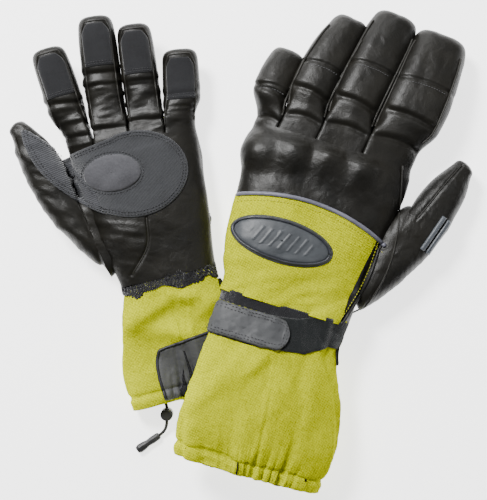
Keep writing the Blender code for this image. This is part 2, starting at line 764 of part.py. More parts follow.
def add_cuff_patch(b):
    """The leather tab sewn on the palm side of the cuff, over the drawcord's exit."""
    (low_top, left_top, right_top), (low_end, left_end, right_end) = b.glove["cuff_patch"]
    grid = []
    for t in spaced(0.0, 1.0, 4):
        y = low_top + (low_end + HEM_WIDTH * 0.7 - low_top) * t
        left = left_top + (left_end - left_top) * t
        right = right_top + (right_end - right_top) * t
        grid.append([b.body.over(x, y, -1, GAP) for x in spaced(left, right, 6)])
    b.plate("cuff_patch", grid, -1, PATCH, principled("strap_leather", SUEDE_GREY, 0.7))


# ---------------------------------------------------------------------------- drawcord

def cylinder(name, radius, low, high, sides, mat, collection, parent):
    """Add an upright cylinder on its parent's axis, from low to high in millimetres."""
    bm = bmesh.new()
    bmesh.ops.create_cone(bm, cap_ends=True, segments=sides, radius1=radius * MM,
                          radius2=radius * MM, depth=(high - low) * MM)
    bmesh.ops.translate(bm, verts=bm.verts, vec=(0.0, 0.0, (low + high) / 2.0 * MM))
    mesh = bpy.data.meshes.new(name)
    bm.to_mesh(mesh)
    bm.free()
    return add_object(name, mesh, parent, mat, collection)


def boolean(obj, other, operation):
    """Cut or join an object with a guide, which the build leaves out."""
    mod = obj.modifiers.new(other.name, "BOOLEAN")
    mod.operation = operation
    mod.solver = "EXACT"
    mod.object = other
    other.hide_render = True
    other.display_type = "WIRE"


def slot_cutter(name, low, high, cutters, parent):
    """Add an upright slot along Y, round at both ends, as wide as the cord's hole."""
    bm = bmesh.new()
    arc = [math.pi * i / 6.0 for i in range(7)]
    outline = [(LOCK_HOLE_RADIUS * math.cos(a), high - LOCK_HOLE_RADIUS + LOCK_HOLE_RADIUS * math.sin(a))
               for a in arc]
    outline += [(-LOCK_HOLE_RADIUS * math.cos(a), low + LOCK_HOLE_RADIUS - LOCK_HOLE_RADIUS * math.sin(a))
                for a in arc]
    face = bm.faces.new([bm.verts.new((x * MM, -2.0 * LOCK_RADIUS * MM, z * MM)) for x, z in outline])
    pushed = bmesh.ops.extrude_face_region(bm, geom=[face])
    moved = [v for v in pushed["geom"] if isinstance(v, bmesh.types.BMVert)]
    bmesh.ops.translate(bm, verts=moved, vec=(0.0, 4.0 * LOCK_RADIUS * MM, 0.0))
    bmesh.ops.recalc_face_normals(bm, faces=bm.faces)
    mesh = bpy.data.meshes.new(name)
    bm.to_mesh(mesh)
    bm.free()
    return add_object(name, mesh, parent, None, cutters)


def tube_curve(name, points, radius, mat, collection, parent):
    """Add a round tube along points in millimetres, as a POLY spline with filled caps."""
    curve = bpy.data.curves.new(name, "CURVE")
    curve.dimensions = "3D"
    curve.bevel_depth = radius * MM
    curve.bevel_resolution = 2
    curve.use_fill_caps = True
    spline = curve.splines.new("POLY")
    spline.points.add(len(points) - 1)
    for target, point in zip(spline.points, points):
        target.co = (point[0] * MM, point[1] * MM, point[2] * MM, 1.0)
    curve.materials.append(mat)
    obj = bpy.data.objects.new(name, curve)
    collection.objects.link(obj)
    obj.parent = parent
    return obj


def add_drawcord(collection, cutters):
    """The drawcord's tail with its spring lock and pull, in front of the hem of glove A."""
    black = principled("moulded_black", GUARD_BLACK, 0.4)
    place = bpy.data.objects.new("drawcord_place", None)
    collection.objects.link(place)
    route = [np.array(point) for point in CORD_ROUTE]
    steps = spaced(0.0, len(route) - 1.0, CORD_POINTS)
    tube_curve("drawcord_tail", [catmull(route, s) for s in steps], CORD_RADIUS,
               principled("cord", ELASTIC_BLACK, 0.8), collection, place)

    lock = bpy.data.objects.new("cord_lock_pivot", None)
    collection.objects.link(lock)
    lock.parent = place
    lock.location = (LOCK_CENTRE[0] * MM, LOCK_CENTRE[1] * MM, 0.0)
    body = cylinder("cord_lock_body", LOCK_RADIUS, LOCK_BASE, LOCK_TOP, 20, black, collection, lock)
    bore = cylinder("lock_bore", LOCK_RADIUS - LOCK_WALL, LOCK_BASE + LOCK_WALL, LOCK_TOP + 1.0, 20,
                    None, cutters, lock)
    boolean(body, bore, "DIFFERENCE")
    hole = slot_cutter("lock_hole", LOCK_HOLE_Z - LOCK_HOLE_RADIUS, LOCK_HOLE_Z + LOCK_HOLE_RADIUS,
                       cutters, lock)
    boolean(body, hole, "DIFFERENCE")

    button = cylinder("cord_lock_button", BUTTON_RADIUS, BUTTON_BASE, BUTTON_HEAD[1] - 0.2, 16, black,
                      collection, lock)
    head = cylinder("button_head", BUTTON_HEAD_RADIUS, BUTTON_HEAD[0], BUTTON_HEAD[1], 16, None,
                    cutters, lock)
    boolean(button, head, "UNION")
    slot = slot_cutter("button_slot", LOCK_HOLE_Z - LOCK_HOLE_RADIUS,
                       LOCK_HOLE_Z + LOCK_HOLE_RADIUS + BUTTON_TRAVEL, cutters, lock)
    boolean(button, slot, "DIFFERENCE")

    low = LOCK_BASE + LOCK_WALL + SPRING_WIRE + 0.15
    high = BUTTON_BASE - SPRING_WIRE - 0.15
    coil = []
    for t in spaced(0.0, 1.0, 26):
        angle = 2.0 * math.pi * SPRING_TURNS * t
        coil.append((SPRING_RADIUS * math.cos(angle), SPRING_RADIUS * math.sin(angle),
                     low + (high - low) * t))
    tube_curve("cord_lock_spring", coil, SPRING_WIRE, principled("spring_steel", PIPING_GREY, 0.3, 1.0),
               collection, lock)
    add_pull(collection, cutters, place, black)


def add_pull(collection, cutters, place, mat):
    """The moulded pull on the cord's end: a waisted bar with a blind bore for the cord."""
    end = Vector(CORD_ROUTE[-1])
    along = (end - Vector(CORD_ROUTE[-3])).normalized()
    mouth = end - along * (PULL_BORE_DEPTH - GAP)
    turn = along.to_track_quat("X", "Z").to_matrix().to_4x4()
    shape = [(0.0, 0.62), (0.06, 0.80), (0.30, 0.86), (0.52, 0.74), (0.72, 0.96), (0.90, 1.0),
             (1.0, 0.72)]
    rings = []
    for t, width in shape:
        ring = []
        for i in range(12):
            a = -2.0 * math.pi * (i + 0.5) / 12
            ring.append((PULL_LENGTH * t, PULL_WIDTH / 2 * width * math.cos(a),
                         PULL_HEIGHT / 2 * (0.75 + 0.25 * width) * math.sin(a)))
        rings.append(ring)
    mesh = loft("cord_pull", rings)
    bm = bmesh.new()
    bm.from_mesh(mesh)
    bmesh.ops.holes_fill(bm, edges=bm.edges)
    bmesh.ops.recalc_face_normals(bm, faces=bm.faces)
    bm.to_mesh(mesh)
    bm.free()
    mesh.transform(turn)
    pull = add_object("cord_pull", mesh, place, mat, collection)
    pull.location = mouth * MM
    bm = bmesh.new()
    bmesh.ops.create_cone(bm, cap_ends=True, segments=12, radius1=PULL_BORE_RADIUS * MM,
                          radius2=PULL_BORE_RADIUS * MM, depth=2.0 * PULL_BORE_DEPTH * MM)
    bm.transform(turn @ Matrix.Rotation(math.pi / 2.0, 4, "Y"))
    bore_mesh = bpy.data.meshes.new("pull_bore")
    bm.to_mesh(bore_mesh)
    bm.free()
    bore = add_object("pull_bore", bore_mesh, place, None, cutters)
    bore.location = mouth * MM
    boolean(pull, bore, "DIFFERENCE")


# ---------------------------------------------------------------------------- the pair

def add_glove(glove, collection, cutters):
    """Build every piece of one glove."""
    b = Builder(glove, collection, cutters)
    add_cuff(b)
    add_hand(b)
    pivots = add_digits(b)
    add_tip_patches(b, pivots)
    add_palm(b, pivots)
    add_back_panel(b)
    add_piping(b)
    add_badge(b)
    add_strap(b)
    add_knuckle_guard(b)
    add_thumb_bars(b, pivots)
    if glove["cuff_patch"]:
        add_cuff_patch(b)


def stand_at_origin(collection):
    """Move everything so that the middle of the box, at its lowest height, is the origin."""
    bpy.context.view_layer.update()
    graph = bpy.context.evaluated_depsgraph_get()
    corners = []
    for obj in collection.objects:
        if obj.type == "MESH" and not obj.name.startswith("cord"):
            seen = obj.evaluated_get(graph)
            corners += [seen.matrix_world @ vertex.co for vertex in seen.data.vertices]
    low = Vector([min(c[i] for c in corners) for i in range(3)])
    high = Vector([max(c[i] for c in corners) for i in range(3)])
    shift = Vector((-(low.x + high.x) / 2.0, -(low.y + high.y) / 2.0, -low.z))
    for obj in collection.objects:
        if obj.parent is None:
            obj.location = obj.location + shift
    bpy.context.view_layer.update()


def main():
    clear_scene()
    collection = make_collection(COLLECTION)
    cutters = make_collection(CUTTERS)
    for glove in (GLOVE_A, GLOVE_B):
        add_glove(glove, collection, cutters)
    add_drawcord(collection, cutters)
    stand_at_origin(collection)


main()
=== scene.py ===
"""Looks of a pair of insulated gauntlets lying side by side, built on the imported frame."""

import json
import math

import bmesh
import bpy
import numpy as np
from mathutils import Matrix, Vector, noise
from mathutils.bvhtree import BVHTree


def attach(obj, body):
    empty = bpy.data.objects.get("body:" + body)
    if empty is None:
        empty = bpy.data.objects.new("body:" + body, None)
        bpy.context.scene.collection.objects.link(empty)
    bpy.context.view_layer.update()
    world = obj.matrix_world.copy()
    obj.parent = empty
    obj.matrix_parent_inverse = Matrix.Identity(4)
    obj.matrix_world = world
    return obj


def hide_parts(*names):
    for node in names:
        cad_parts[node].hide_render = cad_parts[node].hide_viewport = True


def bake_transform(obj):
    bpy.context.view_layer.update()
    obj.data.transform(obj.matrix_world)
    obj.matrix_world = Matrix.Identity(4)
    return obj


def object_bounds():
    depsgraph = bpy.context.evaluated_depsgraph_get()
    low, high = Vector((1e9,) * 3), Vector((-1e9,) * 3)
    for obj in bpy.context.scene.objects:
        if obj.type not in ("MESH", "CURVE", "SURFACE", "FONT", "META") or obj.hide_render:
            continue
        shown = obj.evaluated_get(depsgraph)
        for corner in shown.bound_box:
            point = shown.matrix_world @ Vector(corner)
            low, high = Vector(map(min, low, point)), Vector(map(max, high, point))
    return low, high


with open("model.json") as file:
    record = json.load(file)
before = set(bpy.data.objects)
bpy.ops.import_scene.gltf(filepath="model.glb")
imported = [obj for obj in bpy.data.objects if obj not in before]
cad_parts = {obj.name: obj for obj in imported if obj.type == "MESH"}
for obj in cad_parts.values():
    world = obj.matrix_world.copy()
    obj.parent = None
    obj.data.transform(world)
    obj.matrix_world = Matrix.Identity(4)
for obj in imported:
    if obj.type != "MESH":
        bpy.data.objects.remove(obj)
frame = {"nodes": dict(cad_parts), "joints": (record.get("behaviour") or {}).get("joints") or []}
CAD_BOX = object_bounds()
JOINTS = {joint["name"]: joint for joint in frame["joints"]}
MM = 0.001
UP = np.array([0.0, 0.0, 1.0])
SIDEWAYS = np.array([1.0, 0.0, 0.0])
# How finely the skins are made, in mm along a tube and in columns round it.
BODY_STEP, BODY_COLUMNS = 0.9, 320
DIGIT_STEP, DIGIT_COLUMNS = 0.9, 88
THUMB_ROOT = 13.0
WELT_SIDES = 10


def add_mesh(name, points, faces, material, smooth=True):
    """A mesh object from points in metres; its rest coordinates are kept for the grain."""
    mesh = bpy.data.meshes.new(name)
    mesh.from_pydata([tuple(p) for p in points], [], [tuple(f) for f in faces])
    mesh.validate()
    rest = mesh.attributes.new("rest", "FLOAT_VECTOR", "POINT")
    co = np.zeros(len(mesh.vertices) * 3, np.float32)
    mesh.vertices.foreach_get("co", co)
    rest.data.foreach_set("vector", co / MM)
    mesh.polygons.foreach_set("use_smooth", [smooth] * len(mesh.polygons))
    mesh.materials.append(material)
    obj = bpy.data.objects.new(name, mesh)
    bpy.context.scene.collection.objects.link(obj)
    return obj


# ---- camera, floor and light ----

FRAME_LONG = 350.0 * MM
LENS = 100.0
OBJECT_HEIGHT = 24.0 * MM
FLOOR_HALF = 4.0
FLOOR_Z = -0.0004
# The photograph's frame is centred a little to one side of the object's own middle.
SHIFT_X, SHIFT_Y = 1.35 * MM, 0.71 * MM
LOW, HIGH = CAD_BOX
CENTRE = (LOW + HIGH) / 2


def make_camera():
    data = bpy.data.cameras.new("camera")
    data.lens = LENS
    data.sensor_width = 36.0
    data.clip_end = 10.0
    camera = bpy.data.objects.new("camera", data)
    bpy.context.scene.collection.objects.link(camera)
    distance = FRAME_LONG * LENS / data.sensor_width
    camera.location = (CENTRE.x + SHIFT_X, CENTRE.y + SHIFT_Y, OBJECT_HEIGHT + distance)
    bpy.context.scene.camera = camera


def make_floor():
    material = bpy.data.materials.new("floor_paper")
    material.use_nodes = True
    shader = material.node_tree.nodes["Principled BSDF"]
    shader.inputs["Base Color"].default_value = (0.95, 0.95, 0.95, 1)
    shader.inputs["Emission Color"].default_value = (1, 1, 1, 1)
    shader.inputs["Emission Strength"].default_value = 2.4
    shader.inputs["Roughness"].default_value = 0.9
    shader.inputs["Specular IOR Level"].default_value = 0.1
    corners = [(u * FLOOR_HALF, v * FLOOR_HALF, FLOOR_Z) for u, v in ((-1, -1), (1, -1), (1, 1), (-1, 1))]
    floor = add_mesh("floor", corners, [(0, 1, 2, 3)], material)


def add_light(name, place, size, power, target):
    data = bpy.data.lights.new(name, "AREA")
    data.size = size
    data.energy = power
    light = bpy.data.objects.new(name, data)
    light.location = place
    direction = Vector(target) - Vector(place)
    light.rotation_euler = direction.to_track_quat("-Z", "Y").to_euler()
    bpy.context.scene.collection.objects.link(light)


def make_light():
    world = bpy.data.worlds.new("world")
    world.use_nodes = True
    world.node_tree.nodes["Background"].inputs["Color"].default_value = (1, 1, 1, 1)
    world.node_tree.nodes["Background"].inputs["Strength"].default_value = 0.16
    bpy.context.scene.world = world
    add_light("key", (-0.55, 0.75, 1.15), 0.35, 42.0, (0, 0, 0.02))
    add_light("fill", (0.9, 0.1, 1.3), 0.9, 3.0, (0, 0, 0.02))
    add_light("rim", (0.1, 1.3, 0.45), 0.5, 6.0, (0, 0, 0.03))


# ---- materials ----

class Shade:
    """Short hand for one node material."""

    def __init__(self, name, **sockets):
        self.material = bpy.data.materials.new(name)
        self.material.use_nodes = True
        self.nodes = self.material.node_tree.nodes
        self.links = self.material.node_tree.links
        self.shader = self.nodes["Principled BSDF"]
        for socket, value in sockets.items():
            self.shader.inputs[socket.replace("_", " ")].default_value = value
        self.rest = self.nodes.new("ShaderNodeAttribute")
        self.rest.attribute_name = "rest"
        self.height = None

    def node(self, kind, **settings):
        made = self.nodes.new(kind)
        for key, value in settings.items():
            setattr(made, key, value)
        return made

    def set(self, node, **sockets):
        for socket, value in sockets.items():
            target = node.inputs[socket.replace("_", " ")]
            if hasattr(value, "is_output"):
                self.links.new(value, target)
            else:
                target.default_value = value
        return node

    def noise(self, scale, detail=4.0, rough=0.55, distortion=0.0, vector=None):
        made = self.node("ShaderNodeTexNoise")
        self.set(made, Scale=scale, Detail=detail, Roughness=rough, Distortion=distortion)
        self.links.new(vector or self.rest.outputs["Vector"], made.inputs["Vector"])
        return made.outputs["Fac"]

    def voronoi(self, scale, feature="F1", vector=None):
        made = self.node("ShaderNodeTexVoronoi", feature=feature)
        self.set(made, Scale=scale)
        self.links.new(vector or self.rest.outputs["Vector"], made.inputs["Vector"])
        return made.outputs["Distance"]

    def waves(self, scale, turn=0.0, distortion=0.0):
        turned = self.node("ShaderNodeMapping", vector_type="TEXTURE")
        self.set(turned, Rotation=(0, 0, turn))
        self.links.new(self.rest.outputs["Vector"], turned.inputs["Vector"])
        made = self.node("ShaderNodeTexWave", wave_type="BANDS", bands_direction="X")
        self.set(made, Scale=scale, Distortion=distortion, Detail=1.0, Detail_Scale=1.5)
        self.links.new(turned.outputs["Vector"], made.inputs["Vector"])
        return made.outputs["Fac"]

    def math(self, operation, a, b=0.0):
        made = self.node("ShaderNodeMath", operation=operation)
        for slot, value in enumerate((a, b)):
            if hasattr(value, "is_output"):
                self.links.new(value, made.inputs[slot])
            else:
                made.inputs[slot].default_value = value
        return made.outputs[0]

    def ramp(self, value, stops):
        made = self.node("ShaderNodeValToRGB")
        ramp = made.color_ramp
        while len(ramp.elements) < len(stops):
            ramp.elements.new(0.5)
        for element, (place, colour) in zip(ramp.elements, stops):
            element.position = place
            element.color = (*colour, 1.0)
        self.links.new(value, made.inputs["Fac"])
        return made.outputs["Color"]

    def colour(self, output):
        self.links.new(output, self.shader.inputs["Base Color"])

    def roughness(self, value, low, high):
        made = self.node("ShaderNodeMapRange")
        self.set(made, To_Min=low, To_Max=high)
        self.links.new(value, made.inputs["Value"])
        self.links.new(made.outputs["Result"], self.shader.inputs["Roughness"])

    def bump(self, value, depth, strength=1.0):
        """Depth in mm, stacked on what is already there."""
        made = self.node("ShaderNodeBump")
        self.set(made, Strength=strength, Distance=depth * MM)
        self.links.new(value, made.inputs["Height"])
        if self.height is not None:
            self.links.new(self.height, made.inputs["Normal"])
        self.height = made.outputs["Normal"]
        self.links.new(self.height, self.shader.inputs["Normal"])


def leather(name, dark, light, gloss=(0.34, 0.55), grain=1.0):
    """Smooth drum-dyed leather: fine pebble, creases and a soft uneven gloss."""
    s = Shade(name, Specular_IOR_Level=0.32)
    patchy = s.noise(0.035, 5.0, 0.6, 0.4)
    s.colour(s.ramp(patchy, [(0.3, dark), (0.7, light)]))
    s.roughness(s.noise(0.12, 6.0, 0.65), *gloss)
    s.bump(s.noise(0.16, 5.0, 0.6, 0.8), 0.7 * grain, 0.5)
    s.bump(s.voronoi(0.95, "DISTANCE_TO_EDGE"), 0.16 * grain, 0.55)
    s.bump(s.noise(2.2, 3.0), 0.08 * grain, 0.6)
    return s.material


def suede(name, dark, light, ribs=None, turn=0.0):
    """Brushed reinforcement leather, printed with fine close ribs where ribs is set."""
    s = Shade(name, Specular_IOR_Level=0.25, Sheen_Weight=0.25, Sheen_Roughness=0.5)
    nap = s.noise(0.9, 6.0, 0.7)
    wear = s.noise(0.05, 4.0, 0.6)
    mixed = s.math("ADD", s.math("MULTIPLY", nap, 0.55), s.math("MULTIPLY", wear, 0.45))
    if ribs:
        lines = s.waves(ribs, turn, 0.25)
        mixed = s.math("ADD", s.math("MULTIPLY", mixed, 0.62), s.math("MULTIPLY", lines, 0.32))
        s.bump(lines, 0.45, 0.8)
    s.colour(s.ramp(mixed, [(0.28, dark), (0.68, light)]))
    s.roughness(nap, 0.7, 0.92)
    s.bump(s.noise(2.6, 5.0, 0.7), 0.22, 0.7)
    return s.material


def textile(name, dark, middle, light):
    """Coarse basket-woven nylon: crossed yarns, each a little different in tone."""
    s = Shade(name, Specular_IOR_Level=0.0)
    warp = s.waves(0.30, math.radians(18), 0.6)
    weft = s.waves(0.30, math.radians(108), 0.6)
    weave = s.math("MULTIPLY", warp, weft)
    fleck = s.noise(0.75, 5.0, 0.8)
    cloud = s.noise(0.03, 3.0, 0.5)
    tone = s.math("ADD", s.math("MULTIPLY", weave, 0.30), s.math("MULTIPLY", fleck, 0.55))
    tone = s.math("ADD", tone, s.math("MULTIPLY", cloud, 0.15))
    s.colour(s.ramp(tone, [(0.27, dark), (0.42, middle), (0.62, light)]))
    s.roughness(fleck, 0.62, 0.85)
    s.bump(weave, 0.42, 0.75)
    s.bump(s.noise(1.6, 4.0), 0.18, 0.6)
    return s.material


def fuzz(name, dark, light):
    """Loop pile: a dense tangle of short fibres."""
    s = Shade(name, Specular_IOR_Level=0.2, Sheen_Weight=0.35, Sheen_Roughness=0.4)
    tangle = s.noise(1.1, 6.0, 0.8, 2.0)
    s.colour(s.ramp(tangle, [(0.35, dark), (0.7, light)]))
    s.roughness(tangle, 0.8, 0.98)
    s.bump(tangle, 0.9, 0.9)
    return s.material


def rubber(name, dark, light, gloss=(0.4, 0.6), speck=0.05):
    """Moulded rubber or plastic with a spark-etched skin and rubbed high spots."""
    s = Shade(name, Specular_IOR_Level=0.45)
    cloud = s.noise(0.08, 5.0, 0.65)
    s.colour(s.ramp(cloud, [(0.3, dark), (0.7, light)]))
    s.roughness(s.noise(0.4, 6.0, 0.7), *gloss)
    s.bump(s.noise(3.2, 3.0), speck, 0.6)
    return s.material


def braid(name, dark, light):
    """Round braided cord: slanting strands both ways."""
    s = Shade(name, Specular_IOR_Level=0.3, Sheen_Weight=0.2)
    one = s.waves(0.55, math.radians(40), 0.3)
    two = s.waves(0.55, math.radians(-45), 0.3)
    plait = s.math("MULTIPLY", one, two)
    s.colour(s.ramp(s.math("ADD", plait, s.math("MULTIPLY", s.noise(1.5), 0.3)),
                    [(0.15, dark), (0.7, light)]))
    s.roughness(plait, 0.6, 0.85)
    s.bump(plait, 0.25, 0.8)
    return s.material


def steel(name):
    s = Shade(name, Metallic=1.0)
    s.colour(s.ramp(s.noise(0.5, 4.0), [(0.3, (0.35, 0.36, 0.38)), (0.7, (0.6, 0.6, 0.62))]))
    s.roughness(s.noise(1.5, 4.0), 0.25, 0.45)
    s.bump(s.noise(4.0, 2.0), 0.02, 0.5)
    return s.material


LEATHER = leather("black_leather", (0.003, 0.0028, 0.002), (0.009, 0.008, 0.0055))
LEATHER_TIP = leather("black_leather_tip", (0.009, 0.0085, 0.007), (0.02, 0.0185, 0.015), (0.42, 0.6), 0.8)
LEATHER_SIDE = leather("side_leather", (0.005, 0.005, 0.005), (0.011, 0.010, 0.009), (0.4, 0.6), 0.7)
PAD_LEATHER = leather("grey_leather", (0.035, 0.036, 0.038), (0.075, 0.076, 0.08), (0.5, 0.68), 1.3)
STRAP_LEATHER = leather("strap_leather", (0.045, 0.047, 0.05), (0.085, 0.087, 0.09), (0.5, 0.68), 1.1)
RIBBED = suede("ribbed_suede", (0.018, 0.019, 0.022), (0.075, 0.077, 0.085), 0.26, math.radians(70))
SUEDE = suede("tip_suede", (0.030, 0.030, 0.034), (0.085, 0.085, 0.094))
PALM = suede("palm_suede", (0.015, 0.016, 0.018), (0.058, 0.060, 0.066), 0.34, math.radians(20))
TIP_SUEDE = suede("fingertip_suede", (0.005, 0.005, 0.006), (0.018, 0.0185, 0.021))
YELLOW = textile("woven_yellow", (0.20, 0.21, 0.0), (0.50, 0.53, 0.0), (0.74, 0.79, 0.0))
LINING = textile("quilted_lining", (0.008, 0.008, 0.009), (0.018, 0.018, 0.02), (0.04, 0.04, 0.042))
LOOP = fuzz("loop_pile", (0.003, 0.004, 0.004), (0.018, 0.021, 0.022))
ELASTIC = fuzz("ruched_elastic", (0.004, 0.004, 0.005), (0.03, 0.03, 0.034))
PIPING = rubber("grey_piping", (0.09, 0.09, 0.12), (0.17, 0.17, 0.21), (0.4, 0.55))
DARK_PIPING = rubber("dark_piping", (0.006, 0.006, 0.01), (0.018, 0.018, 0.028), (0.4, 0.55))
BADGE = rubber("badge_rubber", (0.034, 0.038, 0.043), (0.055, 0.061, 0.068), (0.42, 0.58))
RIM = rubber("rim_rubber", (0.012, 0.013, 0.018), (0.028, 0.03, 0.038), (0.35, 0.5))
BAR = rubber("wiper_rubber", (0.045, 0.052, 0.062), (0.09, 0.10, 0.115), (0.35, 0.5))
THREAD = braid("black_thread", (0.004, 0.004, 0.005), (0.02, 0.02, 0.024))
PALE_THREAD = braid("pale_thread", (0.05, 0.05, 0.055), (0.13, 0.13, 0.14))
YELLOW_THREAD = braid("yellow_thread", (0.3, 0.3, 0.0), (0.6, 0.6, 0.01))
CORD = braid("cord_sheath", (0.006, 0.006, 0.006), (0.035, 0.033, 0.03))


# ---- where each glove is ----

class Place:
    """One glove's own axes in mm: u toward the thumb, v toward the fingertips, h above the floor."""

    def __init__(self, letter, side, middle):
        hinge = JOINTS[f"glove_{letter}_middle_bend"]
        axis = np.array(hinge["axis"], float)
        self.letter = letter
        self.u = side * axis / np.linalg.norm(axis)
        self.v = side * np.cross(UP, self.u)
        at = np.array(hinge["pos_m"], float) * [1, 1, 0]
        self.origin = at - (self.u * middle[0] + self.v * middle[1]) * MM
        self.flipped = side < 0

    def world(self, points):
        p = np.asarray(points, float)
        return self.origin + (p[..., :1] * self.u + p[..., 1:2] * self.v + p[..., 2:3] * UP) * MM

    def local(self, points):
        p = (np.asarray(points, float) - self.origin) / MM
        return np.stack([p @ self.u, p @ self.v, p @ UP], -1)

    def node(self, name):
        """Points and triangles of one CAD node in these axes."""
        obj = frame["nodes"][f"glove_{self.letter}_{name}"]
        obj.data.calc_loop_triangles()
        points = np.array([v.co for v in obj.data.vertices], float)
        triangles = np.array([t.vertices[:] for t in obj.data.loop_triangles])
        return self.local(points), triangles


def slice_radii(points, triangles, centre, side, count):
    """How far out the node reaches from centre at each angle, in the upright plane through side."""
    normal = np.cross(side, UP)
    d = (points - centre) @ normal
    flat = np.stack([(points - centre) @ side, (points - centre) @ UP], -1)
    crossing = []
    for a, b, c in ((0, 1, 2), (1, 2, 0), (2, 0, 1)):
        ia, ib, ic = triangles[:, a], triangles[:, b], triangles[:, c]
        alone = ((d[ia] > 0) != (d[ib] > 0)) & ((d[ia] > 0) != (d[ic] > 0))
        ia, ib, ic = ia[alone], ib[alone], ic[alone]
        tb = (d[ia] / (d[ia] - d[ib]))[:, None]
        tc = (d[ia] / (d[ia] - d[ic]))[:, None]
        crossing.append(np.stack([flat[ia] + tb * (flat[ib] - flat[ia]),
                                  flat[ia] + tc * (flat[ic] - flat[ia])], 1))
    lines = np.concatenate(crossing)
    radii = np.full(count, np.nan)
    if not len(lines):
        return radii
    start, way = lines[:, 0], lines[:, 1] - lines[:, 0]
    for k in range(count):
        angle = 2 * math.pi * k / count
        ray = np.array([math.cos(angle), math.sin(angle)])
        across = ray[0] * way[:, 1] - ray[1] * way[:, 0]
        safe = np.where(np.abs(across) < 1e-9, 1e-9, across)
        out = (start[:, 0] * way[:, 1] - start[:, 1] * way[:, 0]) / safe
        along = (start[:, 0] * ray[1] - start[:, 1] * ray[0]) / safe
        hit = (along >= -1e-6) & (along <= 1 + 1e-6) & (out > 0) & (np.abs(across) > 1e-9)
        if hit.any():
            radii[k] = out[hit].max()
    return radii


def close_gaps(radii, mirrored=False):
    """Angles that met nothing, as at a hole, taken from the other side or bridged."""
    if mirrored:
        other = radii[(len(radii) // 2 - np.arange(len(radii))) % len(radii)]
        radii = np.where(np.isnan(radii), other, radii)
    known = np.flatnonzero(~np.isnan(radii))
    if not len(known):
        return None
    count = len(radii)
    spread = np.concatenate([known - count, known, known + count])
    return np.interp(np.arange(count), spread, np.tile(radii[known], 3))


def soften(rows, angle_sigma, row_sigma):
    """Gaussian smoothing round the section and along the rows."""
    out = np.array(rows, float)
    count = out.shape[1]
    if angle_sigma > 0:
        offset = np.minimum(np.arange(count), count - np.arange(count))
        kernel = np.exp(-0.5 * (offset / angle_sigma) ** 2)
        kernel /= kernel.sum()
        out = np.real(np.fft.ifft(np.fft.fft(out, axis=1) * np.fft.fft(kernel), axis=1))
    if row_sigma > 0:
        reach = int(3 * row_sigma) + 1
        kernel = np.exp(-0.5 * (np.arange(-reach, reach + 1) / row_sigma) ** 2)
        kernel /= kernel.sum()
        padded = np.pad(out, ((reach, reach), (0, 0)), mode="edge")
        out = sum(kernel[i] * padded[i:i + len(out)] for i in range(2 * reach + 1))
    return out


def fill_rows(rows):
    """Stations that met nothing take their nearest neighbour's section."""
    known = [i for i, row in enumerate(rows) if row is not None]
    return [rows[min(known, key=lambda k: abs(k - i))] for i in range(len(rows))]


def segment_distance(points, path):
    """Distance in mm from each (u, v) point to a polyline."""
    best = np.full(len(points), 1e9)
    path = np.asarray(path, float)
    for a, b in zip(path[:-1], path[1:]):
        way = b - a
        t = np.clip(((points - a) @ way) / max(way @ way, 1e-9), 0, 1)
        gap = np.linalg.norm(points - (a + t[:, None] * way), axis=1)
        best = np.minimum(best, gap)
    return best


def smooth_path(path, spacing=1.5):
    """A Catmull-Rom line through the points, resampled evenly."""
    p = np.asarray(path, float)
    if len(p) > 2:
        ext = np.concatenate([[2 * p[0] - p[1]], p, [2 * p[-1] - p[-2]]])
        t = np.linspace(0, 1, 12, endpoint=False)[:, None]
        out = []
        for a, b, c, d in zip(ext[:-3], ext[1:-2], ext[2:-1], ext[3:]):
            out.append(0.5 * (2 * b + (c - a) * t + (2 * a - 5 * b + 4 * c - d) * t ** 2
                              + (3 * b - a - 3 * c + d) * t ** 3))
        p = np.concatenate(out + [p[-1:]])
    gaps = np.linalg.norm(np.diff(p, axis=0), axis=1)
    along = np.concatenate([[0], np.cumsum(gaps)])
    count = max(2, int(round(along[-1] / spacing)) + 1)
    want = np.linspace(0, along[-1], count)
    return np.stack([np.interp(want, along, p[:, k]) for k in range(p.shape[1])], 1)


def wrinkle(points, scale, seed, detail=3):
    """Fractal noise at each point, about -1 to 1."""
    shift = Vector((seed * 17.3, seed * 5.1, seed * 9.7))
    return np.array([noise.fractal(Vector(p) / scale + shift, 1.0, 2.0, detail) for p in points])


def ridged(points, scale, seed):
    """Thin sharp folds: near 1 on a fold and 0 away from it."""
    return np.clip(1 - np.abs(wrinkle(points, scale, seed, 2)) * 5.0, 0, 1) ** 2


